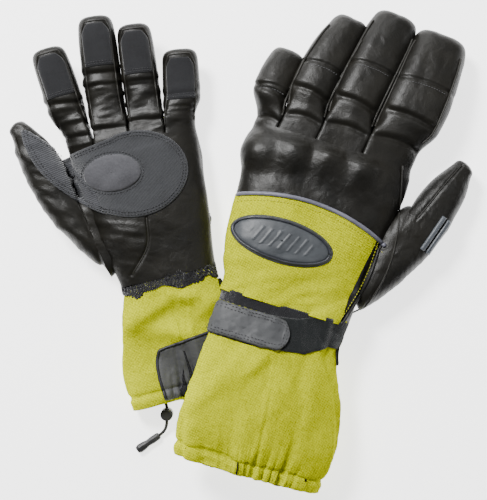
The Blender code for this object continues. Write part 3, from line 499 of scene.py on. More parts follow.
class Surface:
    """A tube of sections: rows along it, columns round it, in one glove's own mm."""

    def __init__(self, place, centres, grid, sides=None, radii=None):
        self.place = place
        self.centres = centres
        self.grid = grid
        self.sides = sides
        self.radii = radii

    def normals(self):
        round_way = np.roll(self.grid, -1, 1) - np.roll(self.grid, 1, 1)
        along = np.gradient(self.grid, axis=0)
        n = np.cross(round_way, along)
        n /= np.maximum(np.linalg.norm(n, axis=2, keepdims=True), 1e-9)
        outward = np.sum(n * (self.grid - self.centres[:, None]), axis=2).mean() > 0
        return n if outward else -n

    def lift(self, amount):
        """Moves every point out by its own amount, a rows by columns array."""
        self.grid = self.grid + self.normals() * np.asarray(amount)[:, :, None]

    def apply(self, function):
        """Lifts by function(flat points) where it returns one amount for each."""
        flat = self.grid.reshape(-1, 3)
        self.lift(function(flat).reshape(self.grid.shape[:2]))

    def faces(self, keep=None):
        rows, count = self.grid.shape[:2]
        quads = ring_faces(rows, count)
        return quads if keep is None else [quad for quad, kept in zip(quads, keep[:-1].flat) if kept]

    def build(self, name, material, keep=None, tip=False, rim=0.0):
        """The tube, or the kept cells of it, closed at its last row and turned in at its first."""
        rows, count = self.grid.shape[:2]
        points = self.grid.reshape(-1, 3)
        faces = self.faces(keep)
        if tip:
            points = np.concatenate([points, self.grid[-1].mean(0)[None]])
            last = (rows - 1) * count
            faces += [(last + j, last + (j + 1) % count, rows * count) for j in range(count)]
        if rim > 0:
            first = self.grid[0]
            inner = first + (self.centres[0] - first) * (rim / 25.0)
            base = len(points)
            points = np.concatenate([points, inner])
            faces += [(base + j, base + (j + 1) % count, (j + 1) % count, j) for j in range(count)]
        return finish_mesh(name, self.place, points, faces, material)


def swept(place, centres, sides, radii):
    """A tube from its middle line, the way each section faces, and how far it reaches all round."""
    centres, sides, radii = (np.asarray(rows, float) for rows in (centres, sides, radii))
    turn = 2 * math.pi * np.arange(radii.shape[1]) / radii.shape[1]
    cos, sin = np.cos(turn)[None, :, None], np.sin(turn)[None, :, None]
    grid = centres[:, None] + radii[:, :, None] * (cos * sides[:, None] + sin * UP)
    return Surface(place, centres, grid, sides, radii)


def finish_mesh(name, place, points, faces, material):
    """Points in glove mm to an object: loose points dropped and faces turned outward."""
    used = np.unique(np.concatenate([np.array(f) for f in faces]))
    index = np.full(len(points), -1)
    index[used] = np.arange(len(used))
    flat = [[int(index[k]) for k in f] for f in faces]
    if place.flipped:
        flat = [f[::-1] for f in flat]
    return add_mesh(name, place.world(np.asarray(points)[used]), flat, material)


def body_surface(place, node, span, centre, along_sigma=9.0):
    """The outline of a hand or cuff node, section by section along v."""
    start, end = span
    step, count, coarse = BODY_STEP, BODY_COLUMNS, 96
    points, triangles = place.node(node)
    rows = max(2, int(round((end - start) / step)) + 1)
    vs = np.linspace(start, end, rows)
    found, centres = [], []
    safe = np.clip(vs, points[:, 1].min() + 0.4, points[:, 1].max() - 0.4)
    for v, s in zip(vs, safe):
        u, h = centre(v)
        radii = slice_radii(points, triangles, np.array([u, s, h]), SIDEWAYS, coarse)
        found.append(close_gaps(radii, True))
        centres.append(np.array([u, v, h]))
    radii = soften(fill_rows(found), 2.2, along_sigma / step)
    wide = np.stack([np.interp(np.arange(count) * coarse / count, np.arange(coarse + 1), np.append(r, r[0]))
                     for r in radii])
    wide = soften(wide, count / coarse, 0)
    return swept(place, centres, np.tile(SIDEWAYS, (rows, 1)), wide)


def smoothstep(t):
    t = np.clip(t, 0, 1)
    return t * t * (3 - 2 * t)


def recentred(points, triangles, centre, side, count):
    """The section at a station, measured from the middle of its own box."""
    for _ in range(3):
        radii = close_gaps(slice_radii(points, triangles, centre, side, count))
        if radii is None:
            return None, centre
        turn = 2 * math.pi * np.arange(count) / count
        across, up = radii * np.cos(turn), radii * np.sin(turn)
        shift = (across.max() + across.min()) / 2 * side + (up.max() + up.min()) / 2 * UP
        centre = centre + shift
        if np.linalg.norm(shift) < 0.05:
            break
    return radii, centre


def strip_radii(outline, centre, left, right, count):
    """The hand's own outline seen from a finger's root, cut off at its two neighbours."""
    rolled = np.roll(outline, -1, 0)
    way = rolled - outline
    radii = np.zeros(count)
    for k in range(count):
        angle = 2 * math.pi * k / count
        ray = np.array([math.cos(angle), math.sin(angle)])
        across = ray[0] * way[:, 1] - ray[1] * way[:, 0]
        across = np.where(np.abs(across) < 1e-9, 1e-9, across)
        rel = outline - centre
        out = (rel[:, 0] * way[:, 1] - rel[:, 1] * way[:, 0]) / across
        along = (rel[:, 0] * ray[1] - rel[:, 1] * ray[0]) / across
        hit = (along >= -1e-6) & (along <= 1 + 1e-6) & (out > 0)
        reach = out[hit].max() if hit.any() else 10.0
        if ray[0] > 1e-6:
            reach = min(reach, (right - centre[0]) / ray[0])
        if ray[0] < -1e-6:
            reach = min(reach, (left - centre[0]) / ray[0])
        radii[k] = reach
    return radii


def finger_surface(place, node, hand, cut, strip, web, full, tip=12.0):
    """A finger from the hand's last section to its blunt tip."""
    count, step = DIGIT_COLUMNS, DIGIT_STEP
    points, triangles = place.node(node)
    far = points[points[:, 1] > points[:, 1].max() - 25.0]
    near = points[points[:, 1] < points[:, 1].min() + 12.0]
    top = np.array([far[:, 0].mean(), far[:, 1].mean(), 0])
    base = np.array([near[:, 0].mean(), near[:, 1].mean(), 0])
    axis = (top - base) / np.linalg.norm(top - base)
    side = np.array([axis[1], -axis[0], 0.0])
    reach = (points - base) @ axis
    last = reach.max()
    first = (cut - base[1]) / axis[1]
    rows = int((last - first) / step)
    stations = np.linspace(first, last, rows)
    inside = np.clip(stations, reach.min() + 1.0, last - tip * 0.62)
    centre = base + np.array([0, 0, near[:, 2].mean()])
    found, middles = [], []
    for t in inside:
        guess = base + axis * t + np.array([0, 0, centre[2]])
        radii, centre = recentred(points, triangles, guess, side, count)
        found.append(radii)
        middles.append(centre)
    middles = np.array(middles) + (stations - inside)[:, None] * axis
    radii = soften(fill_rows(found), count / 34.0, 5.0 / step)
    for k in range(3):
        middles[:, k] = soften(middles[:, k:k + 1], 0, 6.0 / step)[:, 0]
    turn = 2 * math.pi * np.arange(count) / count
    radii = radii * np.sqrt((full * np.cos(turn)) ** 2 + np.sin(turn) ** 2)
    outline = hand.grid[-1][:, [0, 2]]
    left, right = strip
    low, high = max(left, outline[:, 0].min()), min(right, outline[:, 0].max())
    near_top = outline[(outline[:, 0] > low - 4) & (outline[:, 0] < high + 4)]
    root = np.array([(low + high) / 2, (near_top[:, 1].max() + near_top[:, 1].min()) / 2])
    first_radii = strip_radii(outline, root, left, right, count)
    open_from, open_to = 0.45 * (web - cut), (web - cut) + 11.0
    mix = smoothstep((stations - first - open_from) / (open_to - open_from))
    root3 = np.array([root[0], cut, root[1]])
    path = root3 + (stations - first)[:, None] * axis
    centres = path + (middles - path) * mix[:, None]
    sides = SIDEWAYS + (side - SIDEWAYS) * mix[:, None]
    sides /= np.linalg.norm(sides, axis=1, keepdims=True)
    shape = first_radii + (radii - first_radii) * mix[:, None]
    shape[1:] = 0.7 * shape[1:] + 0.3 * soften(shape, 1.2, 0)[1:]
    s = np.clip((stations - (last - tip)) / tip, 0, 1)
    shape *= ((1 - s ** 2.9) ** (1 / 2.9))[:, None]
    return swept(place, centres, sides, shape)


def thumb_surface(place, pairs, rows=120, tip=5.0):
    """The thumb: sections through matching points of its inner and outer edge, out to the tip."""
    points, triangles = place.node("thumb")
    line = smooth_path(pairs, 1.0)
    line = line[np.linspace(0, len(line) - 1, rows).round().astype(int)]
    found, middles, sides = [], [], []
    height = points[:, 2].mean()
    whole = int(rows * 0.84)
    for index, (x1, y1, x2, y2) in enumerate(line):
        inner, outer = np.array([x2, y2, 0.0]), np.array([x1, y1, 0.0])
        side = (outer - inner) / np.linalg.norm(outer - inner)
        guess = (inner + outer) / 2 + height * UP
        radii, centre = recentred(points, triangles, guess, side, DIGIT_COLUMNS)
        if index > whole:
            was = line[whole]
            ratio = np.hypot(x1 - x2, y1 - y2) / np.hypot(was[0] - was[2], was[1] - was[3])
            radii, centre = found[whole] * max(ratio, 0.5), guess
        elif radii is not None:
            height = centre[2]
        found.append(radii)
        middles.append(guess if radii is None else centre)
        sides.append(side)
    radii = soften(fill_rows(found), 2.2, 4.0)
    middles, sides = np.array(middles), np.array(sides)
    ahead = np.cross(UP, sides[-1])
    ahead *= np.sign(ahead @ (middles[-1] - middles[-8])) or 1.0
    steps = np.linspace(0, 1, 14)[1:]
    extra = middles[-1] + ahead * (steps * tip)[:, None]
    shrink = ((1 - steps ** 2.3) ** (1 / 2.3))[:, None]
    radii = np.concatenate([radii, radii[-1] * np.maximum(shrink, 0.02)])
    middles = np.concatenate([middles, extra])
    sides = np.concatenate([sides, np.tile(sides[-1], (len(steps), 1))])
    radii = soften(radii, 0, 2.0)
    for k in range(3):
        middles[:, k] = soften(middles[:, k:k + 1], 0, 2.0)[:, 0]
    # The first section is carried on into the hand and rounded off there, to leave no gap.
    inward = np.cross(sides[0], UP)
    inward *= -np.sign(inward @ (middles[20] - middles[0]))
    back = np.linspace(THUMB_ROOT, 0, 13)[:-1]
    middles = np.concatenate([middles[0] + back[:, None] * inward, middles])
    sides = np.concatenate([np.tile(sides[0], (len(back), 1)), sides])
    narrow = np.sqrt(1 - 0.96 * (back / THUMB_ROOT) ** 2)[:, None]
    radii = np.concatenate([radii[0] * narrow, radii])
    return swept(place, middles, sides, radii)


class Cover:
    """What lies outermost at a (u, v) point of one glove, from above or, with sign -1, from below."""

    def __init__(self, surfaces, sign=1):
        self.sign = sign
        points, faces, base = [], [], 0
        for s in surfaces:
            points.append(s.grid.reshape(-1, 3))
            faces += [tuple(base + k for k in f) for f in s.faces()]
            base += len(points[-1])
        self.tree = BVHTree.FromPolygons([tuple(p) for p in np.concatenate(points)], faces)

    def at(self, u, v):
        """The point met by a ray from outside, or the nearest one where the ray meets nothing."""
        start, way = Vector((u, v, 200.0 * self.sign)), Vector((0, 0, -self.sign))
        hit, normal = self.tree.ray_cast(start, way)[:2]
        if hit is None:
            hit, normal = self.tree.find_nearest(Vector((u, v, 12.0)))[:2]
        n = np.array(normal)
        return np.array(hit), -n if n[2] * self.sign < 0 else n

    def drape(self, flat):
        hits = [self.at(u, v) for u, v in np.asarray(flat)[:, :2]]
        return np.array([h[0] for h in hits]), np.array([h[1] for h in hits])


def levelled(normals, shape, rounds=4):
    """Neighbouring normals averaged, so a draped piece doesn't pick up every pucker below."""
    n = normals.reshape(*shape, 3)
    for _ in range(rounds):
        padded = np.pad(n, ((1, 1), (1, 1), (0, 0)), mode="edge")
        n = (padded[:-2, 1:-1] + padded[2:, 1:-1] + padded[1:-1, :-2] + padded[1:-1, 2:] + n) / 5
    return (n / np.linalg.norm(n, axis=2, keepdims=True)).reshape(-1, 3)


def ruled(name, cover, place, edge_a, edge_b, lift, material, spacing=1.0, shape=None):
    """A draped patch between two edge lines, with its own thickness and rounded rim."""
    a, b = smooth_path(edge_a, spacing), smooth_path(edge_b, spacing)
    rows = max(len(a), len(b))
    along = np.linspace(0, 1, rows)
    a = np.stack([np.interp(along, np.linspace(0, 1, len(a)), a[:, k]) for k in (0, 1)], 1)
    b = np.stack([np.interp(along, np.linspace(0, 1, len(b)), b[:, k]) for k in (0, 1)], 1)
    wide = np.linalg.norm(a - b, axis=1).max()
    cells = max(6, int(wide / spacing))
    length = max(rows - 1, 1) * spacing

    def rimmed(count, size):
        t = np.linspace(0, 1, count)
        gap = np.minimum(t, 1 - t) * size
        t = np.concatenate([[0.0], t, [1.0]])
        height = 1 - 0.35 * np.exp(-np.concatenate([[0.0], gap, [0.0]]) / 0.6)
        height[[0, -1]] = -0.35 / max(lift, 0.05)
        return t, height

    tc, hc = rimmed(cells, wide)
    tr, hr = rimmed(rows, length)
    aa = np.stack([np.interp(tr, along, a[:, k]) for k in (0, 1)], 1)
    bb = np.stack([np.interp(tr, along, b[:, k]) for k in (0, 1)], 1)
    flat = aa[:, None] + (bb - aa)[:, None] * tc[None, :, None]
    size = flat.shape[:2]
    hits, normals = cover.drape(flat.reshape(-1, 2))
    normals = levelled(normals, size)
    height = np.minimum(hr[:, None], hc[None, :]) * lift
    if shape is not None:
        height = height + shape(flat.reshape(-1, 2)).reshape(size) * (height > 0)
    points = hits + normals * height.reshape(-1)[:, None]
    rows, cols = size
    faces = [(i * cols + j, i * cols + j + 1, (i + 1) * cols + j + 1, (i + 1) * cols + j)
             for i in range(rows - 1) for j in range(cols - 1)]
    return closed_up(finish_mesh(name, place, points, faces, material), cover.sign)


def turned(centre, x, y, turn):
    """Points x, y of a shape's own axes, turned about its centre."""
    c, s = math.cos(turn), math.sin(turn)
    return np.stack([centre[0] + x * c - y * s, centre[1] + x * s + y * c], -1)


def ring_faces(rows, count, base=0):
    """Quads between rows of points that each close on themselves."""
    return [(base + i * count + j, base + i * count + (j + 1) % count,
             base + (i + 1) * count + (j + 1) % count, base + (i + 1) * count + j)
            for i in range(rows - 1) for j in range(count)]


def closed_up(obj, sign=1):
    """Faces turned to the outside, which for a draped piece is upward, or downward below."""
    normals = [p.normal.z * p.area * sign for p in obj.data.polygons]
    if sum(normals) < 0:
        obj.data.flip_normals()
    return obj


def disc(name, cover, place, centre, half, turn, lift, material, rings=18, spokes=96, shape=None):
    """A draped oval with a rounded rim."""
    radius = np.linspace(0.02, 1, rings)
    height = np.append(1 - 0.35 * np.exp(-(1 - radius) * half[1] / 0.6), -0.3 / lift)
    radius = np.append(radius, 1.0)
    t = 2 * math.pi * np.arange(spokes) / spokes
    x, y = half[0] * np.outer(radius, np.cos(t)), half[1] * np.outer(radius, np.sin(t))
    flat = turned(centre, x, y, turn).reshape(-1, 2)
    hits, normals = cover.drape(flat)
    normals = levelled(normals, (len(radius), spokes))
    normals[:3 * spokes] = normals[:3 * spokes].mean(0)
    amount = np.repeat(height, spokes) * lift
    if shape is not None:
        amount = amount + shape(np.repeat(radius, spokes), flat) * (amount > 0)
    points = hits + normals * amount[:, None]
    faces = ring_faces(len(radius), spokes) + [tuple(range(spokes))]
    return closed_up(finish_mesh(name, place, points, faces, material), cover.sign)


def tube_points(path, normals, radius, sides, taper=True):
    """Rings round a line, each in the plane across it."""
    tangent = np.gradient(path, axis=0)
    tangent /= np.linalg.norm(tangent, axis=1, keepdims=True)
    side = np.cross(tangent, normals)
    side /= np.linalg.norm(side, axis=1, keepdims=True)
    up = np.cross(side, tangent)
    radius = np.broadcast_to(radius, (len(path),)).copy()
    if taper:
        radius[0] *= 0.25
        radius[-1] *= 0.25
    turn = 2 * math.pi * np.arange(sides) / sides
    ring = np.cos(turn)[None, :, None] * side[:, None] + np.sin(turn)[None, :, None] * up[:, None]
    return path[:, None] + ring * radius[:, None, None]


def tube_faces(rows, sides, base=0):
    faces = ring_faces(rows, sides, base)
    faces.append(tuple(base + j for j in range(sides))[::-1])
    faces.append(tuple(base + (rows - 1) * sides + j for j in range(sides)))
    return faces


def outward(obj):
    bm = bmesh.new()
    bm.from_mesh(obj.data)
    bmesh.ops.recalc_face_normals(bm, faces=bm.faces)
    bm.to_mesh(obj.data)
    bm.free()
    return obj


def welt(name, cover, place, paths, radius, material, lift=0.3):
    """Raised cords sewn along draped lines, all in one piece."""
    points, faces, base = [], [], 0
    for path in paths:
        hits, normals = cover.drape(smooth_path(path, 1.0))
        hits = np.stack([soften(hits[:, k:k + 1], 0, 1.2)[:, 0] for k in range(3)], 1)
        rings = tube_points(hits + normals * lift, normals, radius, WELT_SIDES)
        points.append(rings.reshape(-1, 3))
        faces += tube_faces(len(hits), WELT_SIDES, base)
        base += len(points[-1])
    return outward(finish_mesh(name, place, np.concatenate(points), faces, material))


def stitches(name, cover, place, paths, material, pitch=2.4, length=1.6, radius=0.27, lift=0.12):
    """Separate thread stitches along draped lines, all in one piece."""
    points, faces, base = [], [], 0
    for path in paths:
        line = smooth_path(path, pitch)
        hits, normals = cover.drape(line)
        tangent = np.gradient(hits, axis=0)
        tangent /= np.maximum(np.linalg.norm(tangent, axis=1, keepdims=True), 1e-9)
        for p, n, t in zip(hits, normals, tangent):
            reach = np.array([-0.5, -0.32, 0.0, 0.32, 0.5]) * length
            sink = np.array([-0.5, 0.05, 0.2, 0.05, -0.5]) * radius * 1.4
            core = p + t * reach[:, None] + n * (lift + sink)[:, None]
            rings = tube_points(core, np.tile(n, (5, 1)), radius, 6)
            points.append(rings.reshape(-1, 3))
            faces += tube_faces(5, 6, base)
            base += 30
    return outward(finish_mesh(name, place, np.concatenate(points), faces, material))


# ---- what each glove is made of, in its own mm ----

# The knuckle hinges of the middle fingers fix each glove's own axes.
PLACES = {"a": Place("a", -1, (18.5, 120.4)), "b": Place("b", 1, (3.5, 142.4))}

# Sizes in mm: how far the fingers stay joined past the hinges, and the thumb's two edges,
# which are the frame's own Bezier curves.
PLANS = {
    "a": {
        "hand": (18.0, 116.0), "cuff": (-68.0, 24.0), "full": 1.06,
        "centre": [(-70, 2.0, 11.0), (0, 2.0, 18.0), (20, 1.5, 19.0), (120, 4.0, 18.0)],
        "joined": {"index": 20, "middle": 19, "ring": 17, "little": 9},
        "outer": [(40, 24), (60, 46), (92, 100), (86, 139)],
        "inner": [(56, 116), (57, 119), (60, 130), (75, 146)],
        "bars": (0.44, 0.60),
        "piping": (-48, 43, 74, 75, 12),
    },
    "b": {
        "hand": (19.0, 137.0), "cuff": (-98.0, 24.0), "full": 1.15,
        "centre": [(-100, 8.0, 30.0), (0, 0.0, 31.0), (20, 1.0, 30.0), (60, 0.0, 25.0), (90, 0.0, 22.5),
                   (140, 0.0, 20.0)],
        "joined": {"index": 16, "middle": 17, "ring": 13, "little": 5},
        "outer": [(51.5, 26), (72, 50), (106, 104), (100, 145)],
        "inner": [(66.5, 118), (68, 121), (73, 138), (87, 152)],
        "bars": (0.49, 0.70),
        "piping": (-60, 56, 82, 80, 13),
    },
}
BAR_INSET, BAR_GAP, BAR_HALF = 7.4, 4.6, 1.5
FINGERS = ("index", "middle", "ring", "little")


def gauss(p, u, v, su, sv=None, turn=0.0):
    """A bump of 1 at (u, v), su long and sv wide."""
    c, s = math.cos(turn), math.sin(turn)
    x, y = p[:, 0] - u, p[:, 1] - v
    a, b = x * c + y * s, -x * s + y * c
    return np.exp(-0.5 * ((a / su) ** 2 + (b / (sv or su)) ** 2))


def groove(p, path, width, depth):
    return -depth * np.exp(-(segment_distance(p[:, :2], smooth_path(path, 2.0)) / width) ** 2)


def bezier(points, t):
    """Points of a cubic Bezier curve at the values t."""
    a, b, c, d = (np.array(p, float) for p in points)
    t = np.asarray(t, float)[:, None]
    return a * (1 - t) ** 3 + b * 3 * (1 - t) ** 2 * t + c * 3 * (1 - t) * t ** 2 + d * t ** 3


def arc_line(arc, count=9):
    """A shallow arc: u of its ends, v of its ends, and its rise."""
    left, right, left_v, right_v, rise = arc
    t = np.linspace(0, 1, count)
    v = left_v + (right_v - left_v) * t + rise * 4 * t * (1 - t)
    return np.stack([left + (right - left) * t, v], 1)


def oval_arc(centre, half, start, end, count=12):
    """Part of an oval, between two angles in degrees."""
    t = np.radians(np.linspace(start, end, count))
    return np.stack([centre[0] + half[0] * np.cos(t), centre[1] + half[1] * np.sin(t)], 1)


def side_line(surface, share, low, high):
    """A line along a digit, share of the way from its middle to its thumb side."""
    v = surface.centres[:, 1]
    keep = (v >= low) & (v <= high)
    half = surface.radii.shape[1] // 2
    reach = surface.radii[:, 0] if share > 0 else surface.radii[:, half]
    return (surface.centres + surface.sides * (share * reach)[:, None])[keep][:, :2]


def across_line(surface, v, slant=0.0, bow=0.0, share=0.92, count=7):
    """A line from side to side over a digit at v, tilted by slant and bowed by bow mm."""
    row = int(np.argmin(np.abs(surface.centres[:, 1] - v)))
    half = surface.radii.shape[1] // 2
    left, right = surface.radii[row, half], surface.radii[row, 0]
    t = np.linspace(-share, share, count)
    out = np.where(t < 0, t * left, t * right)
    ahead = np.cross(UP, surface.sides[row])
    rise = slant * t + bow * (1 - (t / share) ** 2)
    return (surface.centres[row] + surface.sides[row] * out[:, None] + ahead * rise[:, None])[:, :2]


class Glove:
    """The skins of one glove, and how a piece is fixed to it."""

    def __init__(self, letter):
        self.letter = letter
        self.place = PLACES[letter]
        self.plan = plan = PLANS[letter]
        self.main = self.name("main")
        self.piping = arc_line(plan["piping"])
        table = np.array(plan["centre"])

        def centre(v):
            return [float(np.interp(v, table[:, 0], table[:, k])) for k in (1, 2)]

        self.hand = body_surface(self.place, "hand", plan["hand"], centre)
        self.cuff = body_surface(self.place, "cuff", plan["cuff"], centre, along_sigma=6.0)
        strips = self.strips()
        self.digits = {name: finger_surface(self.place, name, self.hand, plan["hand"][1], strips[name],
                                            self.web(name), plan["full"]) for name in FINGERS}
        spread = np.linspace(0, 1, 40)
        edges = np.concatenate([bezier(plan["outer"], spread), bezier(plan["inner"], spread ** 2)], axis=1)
        self.digits["thumb"] = thumb_surface(self.place, edges)

    def knuckle(self, digit):
        """A finger's hinge in the glove's own mm."""
        return self.place.local(JOINTS[f"glove_{self.letter}_{digit}_bend"]["pos_m"])

    def web(self, digit):
        return self.knuckle(digit)[1] + self.plan["joined"][digit]

    def tip(self, digit):
        return self.digits[digit].grid[-1, 0, 1]

    def strips(self):
        """How much of the knuckle row each finger takes: halfway across the gap to its neighbour."""
        sides = {}
        for name in FINGERS:
            points, _ = self.place.node(name)
            root = points[points[:, 1] < points[:, 1].min() + 2.0]
            sides[name] = root[:, 0].min(), root[:, 0].max()
        cuts = [(sides[a][0] + sides[b][1]) / 2 for a, b in zip(FINGERS[:-1], FINGERS[1:])]
        far = 99.0
        return dict(zip(FINGERS, zip([*cuts, -far], [far, *cuts])))

    def bar_line(self):
        """The middle line of the two bars along the thumb's outer edge."""
        t = np.array(self.plan["bars"])
        outer, inner = bezier(self.plan["outer"], t), bezier(self.plan["inner"], t ** 2)
        way = inner - outer
        return outer + way / np.linalg.norm(way, axis=1, keepdims=True) * BAR_INSET

    def body(self, digit):
        return self.name("thumb_digit" if digit == "thumb" else f"{digit}_finger")

    def fix(self, obj, slot, replaces=(), digit=None, body=None):
        """Rides a piece on one body, which is the palm's unless it is named; a piece on a digit is only baked
        where it lies.
        """
        if digit is None:
            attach(obj, body or self.main)
        else:
            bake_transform(obj)
        if replaces:
            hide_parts(*map(self.name, replaces))
        return obj

    def sew(self, make, tail, cover, *outline, slot, replaces=(), digit=None, body=None, **settings):
        """Makes one draped piece, with ruled, disc, welt or stitches, and fixes it."""
        obj = make(self.name(tail), cover, self.place, *outline, **settings)
        return self.fix(obj, slot, replaces, digit, body)

    def name(self, tail):
        return f"glove_{self.letter}_{tail}"


def top_share(surface, points, soft=5.0):
    """1 on the upper half of a tube and 0 below."""
    h = points[:, 2] - np.repeat(surface.centres[:, 2], surface.grid.shape[1])
    return smoothstep(h / soft + 0.5)


# ---- what both gloves are dressed with ----

PANEL_LIFT = 0.45


def build_skins(glove, hand_shape, finger_shape, thumb_shape, held, panel_turn, panel_edge):
    """The leather of a glove, and the woven panel let into its back."""
    start = glove.hand.grid.copy()
    glove.hand.apply(hand_shape)
    # The last rows keep their height, so that the fingers' first sections still meet them.
    hold = smoothstep((start[:, :, 1] - (glove.plan["hand"][1] - held)) / held)[:, :, None]
    glove.hand.grid = grid = glove.hand.grid * (1 - hold) + start * hold
    for digit in FINGERS:
        glove.digits[digit].apply(finger_shape(digit))
    thumb = glove.digits["thumb"]
    thumb.apply(lambda p: thumb_shape(p) * top_share(thumb, p))
    piping, edge = smooth_path(glove.piping, 1.0), smooth_path(panel_edge, 1.0)
    turn = np.arange(grid.shape[1])[None, :] / grid.shape[1]
    panel = grid[:, :, 1] < np.interp(grid[:, :, 0], piping[:, 0], piping[:, 1])
    panel &= grid[:, :, 0] < np.interp(grid[:, :, 1], edge[:, 1], edge[:, 0])
    panel &= (turn > panel_turn[0]) & (turn < panel_turn[1])
    lifted = grid + glove.hand.normals() * PANEL_LIFT
    glove.panel = Surface(glove.place, glove.hand.centres, lifted)
    cloth = glove.panel.build(glove.name("back_panel_cloth"), YELLOW, keep=panel)
    glove.fix(cloth, "woven_textile", ("back_panel",))
    skin = glove.hand.build(glove.name("hand_leather"), LEATHER, keep=~panel)
    glove.fix(skin, "leather", ("hand", "knuckle_guard"))
    for digit, surface in glove.digits.items():
        skin = surface.build(glove.name(digit + "_leather"), LEATHER, tip=True)
        glove.fix(skin, "leather", (digit,), digit)


def band(glove, low, high, lift, rows=14, shape=None, under=0.3):
    """A band right round the wrist, between low(u, top) and high(u, top) along v."""
    surface = glove.cuff
    grid, normals = surface.grid, surface.normals()
    vs = grid[:, 0, 1]
    share = np.concatenate([[0.0], np.linspace(0, 1, rows), [1.0]])
    height = np.full(rows + 2, lift)
    height[[1, -2]] *= 0.7
    height[[0, -1]] = -under
    points = np.zeros((rows + 2, grid.shape[1], 3))
    middle = len(vs) // 2
    for j, (u, _, h) in enumerate(grid[middle]):
        top = h > surface.centres[middle, 2]
        v = low(u, top) + (high(u, top) - low(u, top)) * share
        on, way = (np.stack([np.interp(v, vs, rows3[:, j, k]) for k in range(3)], 1)
                   for rows3 in (grid, normals))
        on[:, 1] = v
        points[:, j] = on + way * height[:, None]
    made = Surface(glove.place, points.mean(1), points)
    if shape is not None:
        made.lift(shape(points.reshape(-1, 3)).reshape(points.shape[:2]) * (height[:, None] > 0))
    return made


def ruffle(surface, hem, waves, deep, reach, seed):
    """Gathers that run in from the hem and fade out up the cuff."""
    count = surface.grid.shape[1]
    turn = 2 * math.pi * np.arange(count) / count
    wobble = wrinkle(np.stack([np.cos(turn) * 9, np.sin(turn) * 9, turn * 0], 1), 7.0, seed)
    phase = waves * turn + 3.2 * wobble
    wave = np.sin(phase) * (0.7 + 0.5 * np.sin(3 * turn + seed)) + 0.35 * np.sin(2.3 * phase)
    v = surface.grid[:, 0, 1] - hem
    fade = np.exp(-v / reach) * smoothstep((v + 2) / 5)
    surface.lift(fade[:, None] * wave[None, :] * deep)


def above_floor(surface, least):
    """The cloth lies on the floor and not in it."""
    surface.grid[:, :, 2] = np.maximum(surface.grid[:, :, 2], least)


def mouth(surface, name, material, inset, length, seed):
    """The lining seen inside a cuff: the cuff's own sections, drawn in, with quilted waves."""
    keep = surface.grid[:, 0, 1] <= surface.grid[0, 0, 1] + length
    drawn_in = surface.grid[keep] - surface.normals()[keep] * inset
    inner = Surface(surface.place, surface.centres[keep], drawn_in)
    inner.apply(lambda p: 0.5 * wrinkle(p, 9.0, seed) - 0.2)
    above_floor(inner, 1.6)
    obj = inner.build(name, material)
    obj.data.flip_normals()
    return obj


def ridge(x, width):
    return np.exp(-0.5 * (x / width) ** 2)


def build_cuff(glove, hem, seam, waves, folds, full=0.0):
    """The woven cuff and its lining. Full is how far its thumb side stands out, in mm."""
    surface = glove.cuff
    share = top_share(surface, surface.grid.reshape(-1, 3))

    def amount(p):
        u, v = p[:, 0], p[:, 1]
        out = 1.3 * wrinkle(p * [1, 0.55, 1], 26.0, 31 + waves) + 0.5 * wrinkle(p, 9.0, 32)
        for at_u, at_v, long, wide, turn, tall in folds:
            out += tall * gauss(p, at_u, at_v, long, wide, math.radians(turn)) * share
        line = smooth_path(seam, 2.0)
        beyond = u - np.interp(v, line[::-1, 1], line[::-1, 0])
        out += (1.5 * ridge(beyond + 1.5, 2.2) - 1.3 * ridge(beyond - 2, 2.5)) * share
        toward_hem = 1 + smoothstep((-18 - v) / 40)
        out += full * smoothstep((u - 14) / 26) * toward_hem * smoothstep((14 - v) / 18)
        out += 0.9 * ridge(v - hem - 4.0, 3.0) - 1.5 * ridge(v - hem - 9.0, 1.1)
        return out

    surface.apply(amount)
    ruffle(surface, hem, waves, 1.5, 12.0, 5)
    ruffle(surface, hem, waves // 3, 1.6, 45.0, 7)
    above_floor(surface, 0.4)
    obj = surface.build(glove.name("cuff_cloth"), YELLOW, rim=2.2)
    glove.fix(obj, "woven_textile", ("cuff", "hem_channel"))
    glove.name("cuff_lining_cloth")
    lining = mouth(surface, glove.name("cuff_lining_cloth"), LINING, 2.4, abs(hem) + 18.0, 41)
    glove.fix(lining, "lining", ("cuff_lining",))


def build_elastic(glove, low, high, lift, rows, waves, deep):
    """The ruched elastic at the wrist."""
    def ruched(p):
        turn = np.arctan2(p[:, 2] - p[:, 2].mean(), p[:, 0] - p[:, 0].mean())
        return deep * (np.abs(np.sin(turn * waves + 2.0 * np.sin(p[:, 1] * 0.8))) ** 2 - 0.4)

    made = band(glove, low, high, lift, rows, ruched)
    glove.fix(made.build(glove.name("wrist_elastic_ruched"), ELASTIC), "elastic", ("wrist_elastic",))


def offset_path(path, amount):
    """A line beside a path, to its left for a positive amount."""
    p = smooth_path(path, 1.0)
    t = np.gradient(p, axis=0)
    t /= np.linalg.norm(t, axis=1, keepdims=True)
    return p + np.stack([-t[:, 1], t[:, 0]], 1) * amount


def oval_path(centre, half, turn=0.0, count=64):
    t = np.linspace(0, 2 * math.pi, count)
    return turned(centre, half[0] * np.cos(t), half[1] * np.sin(t), turn)


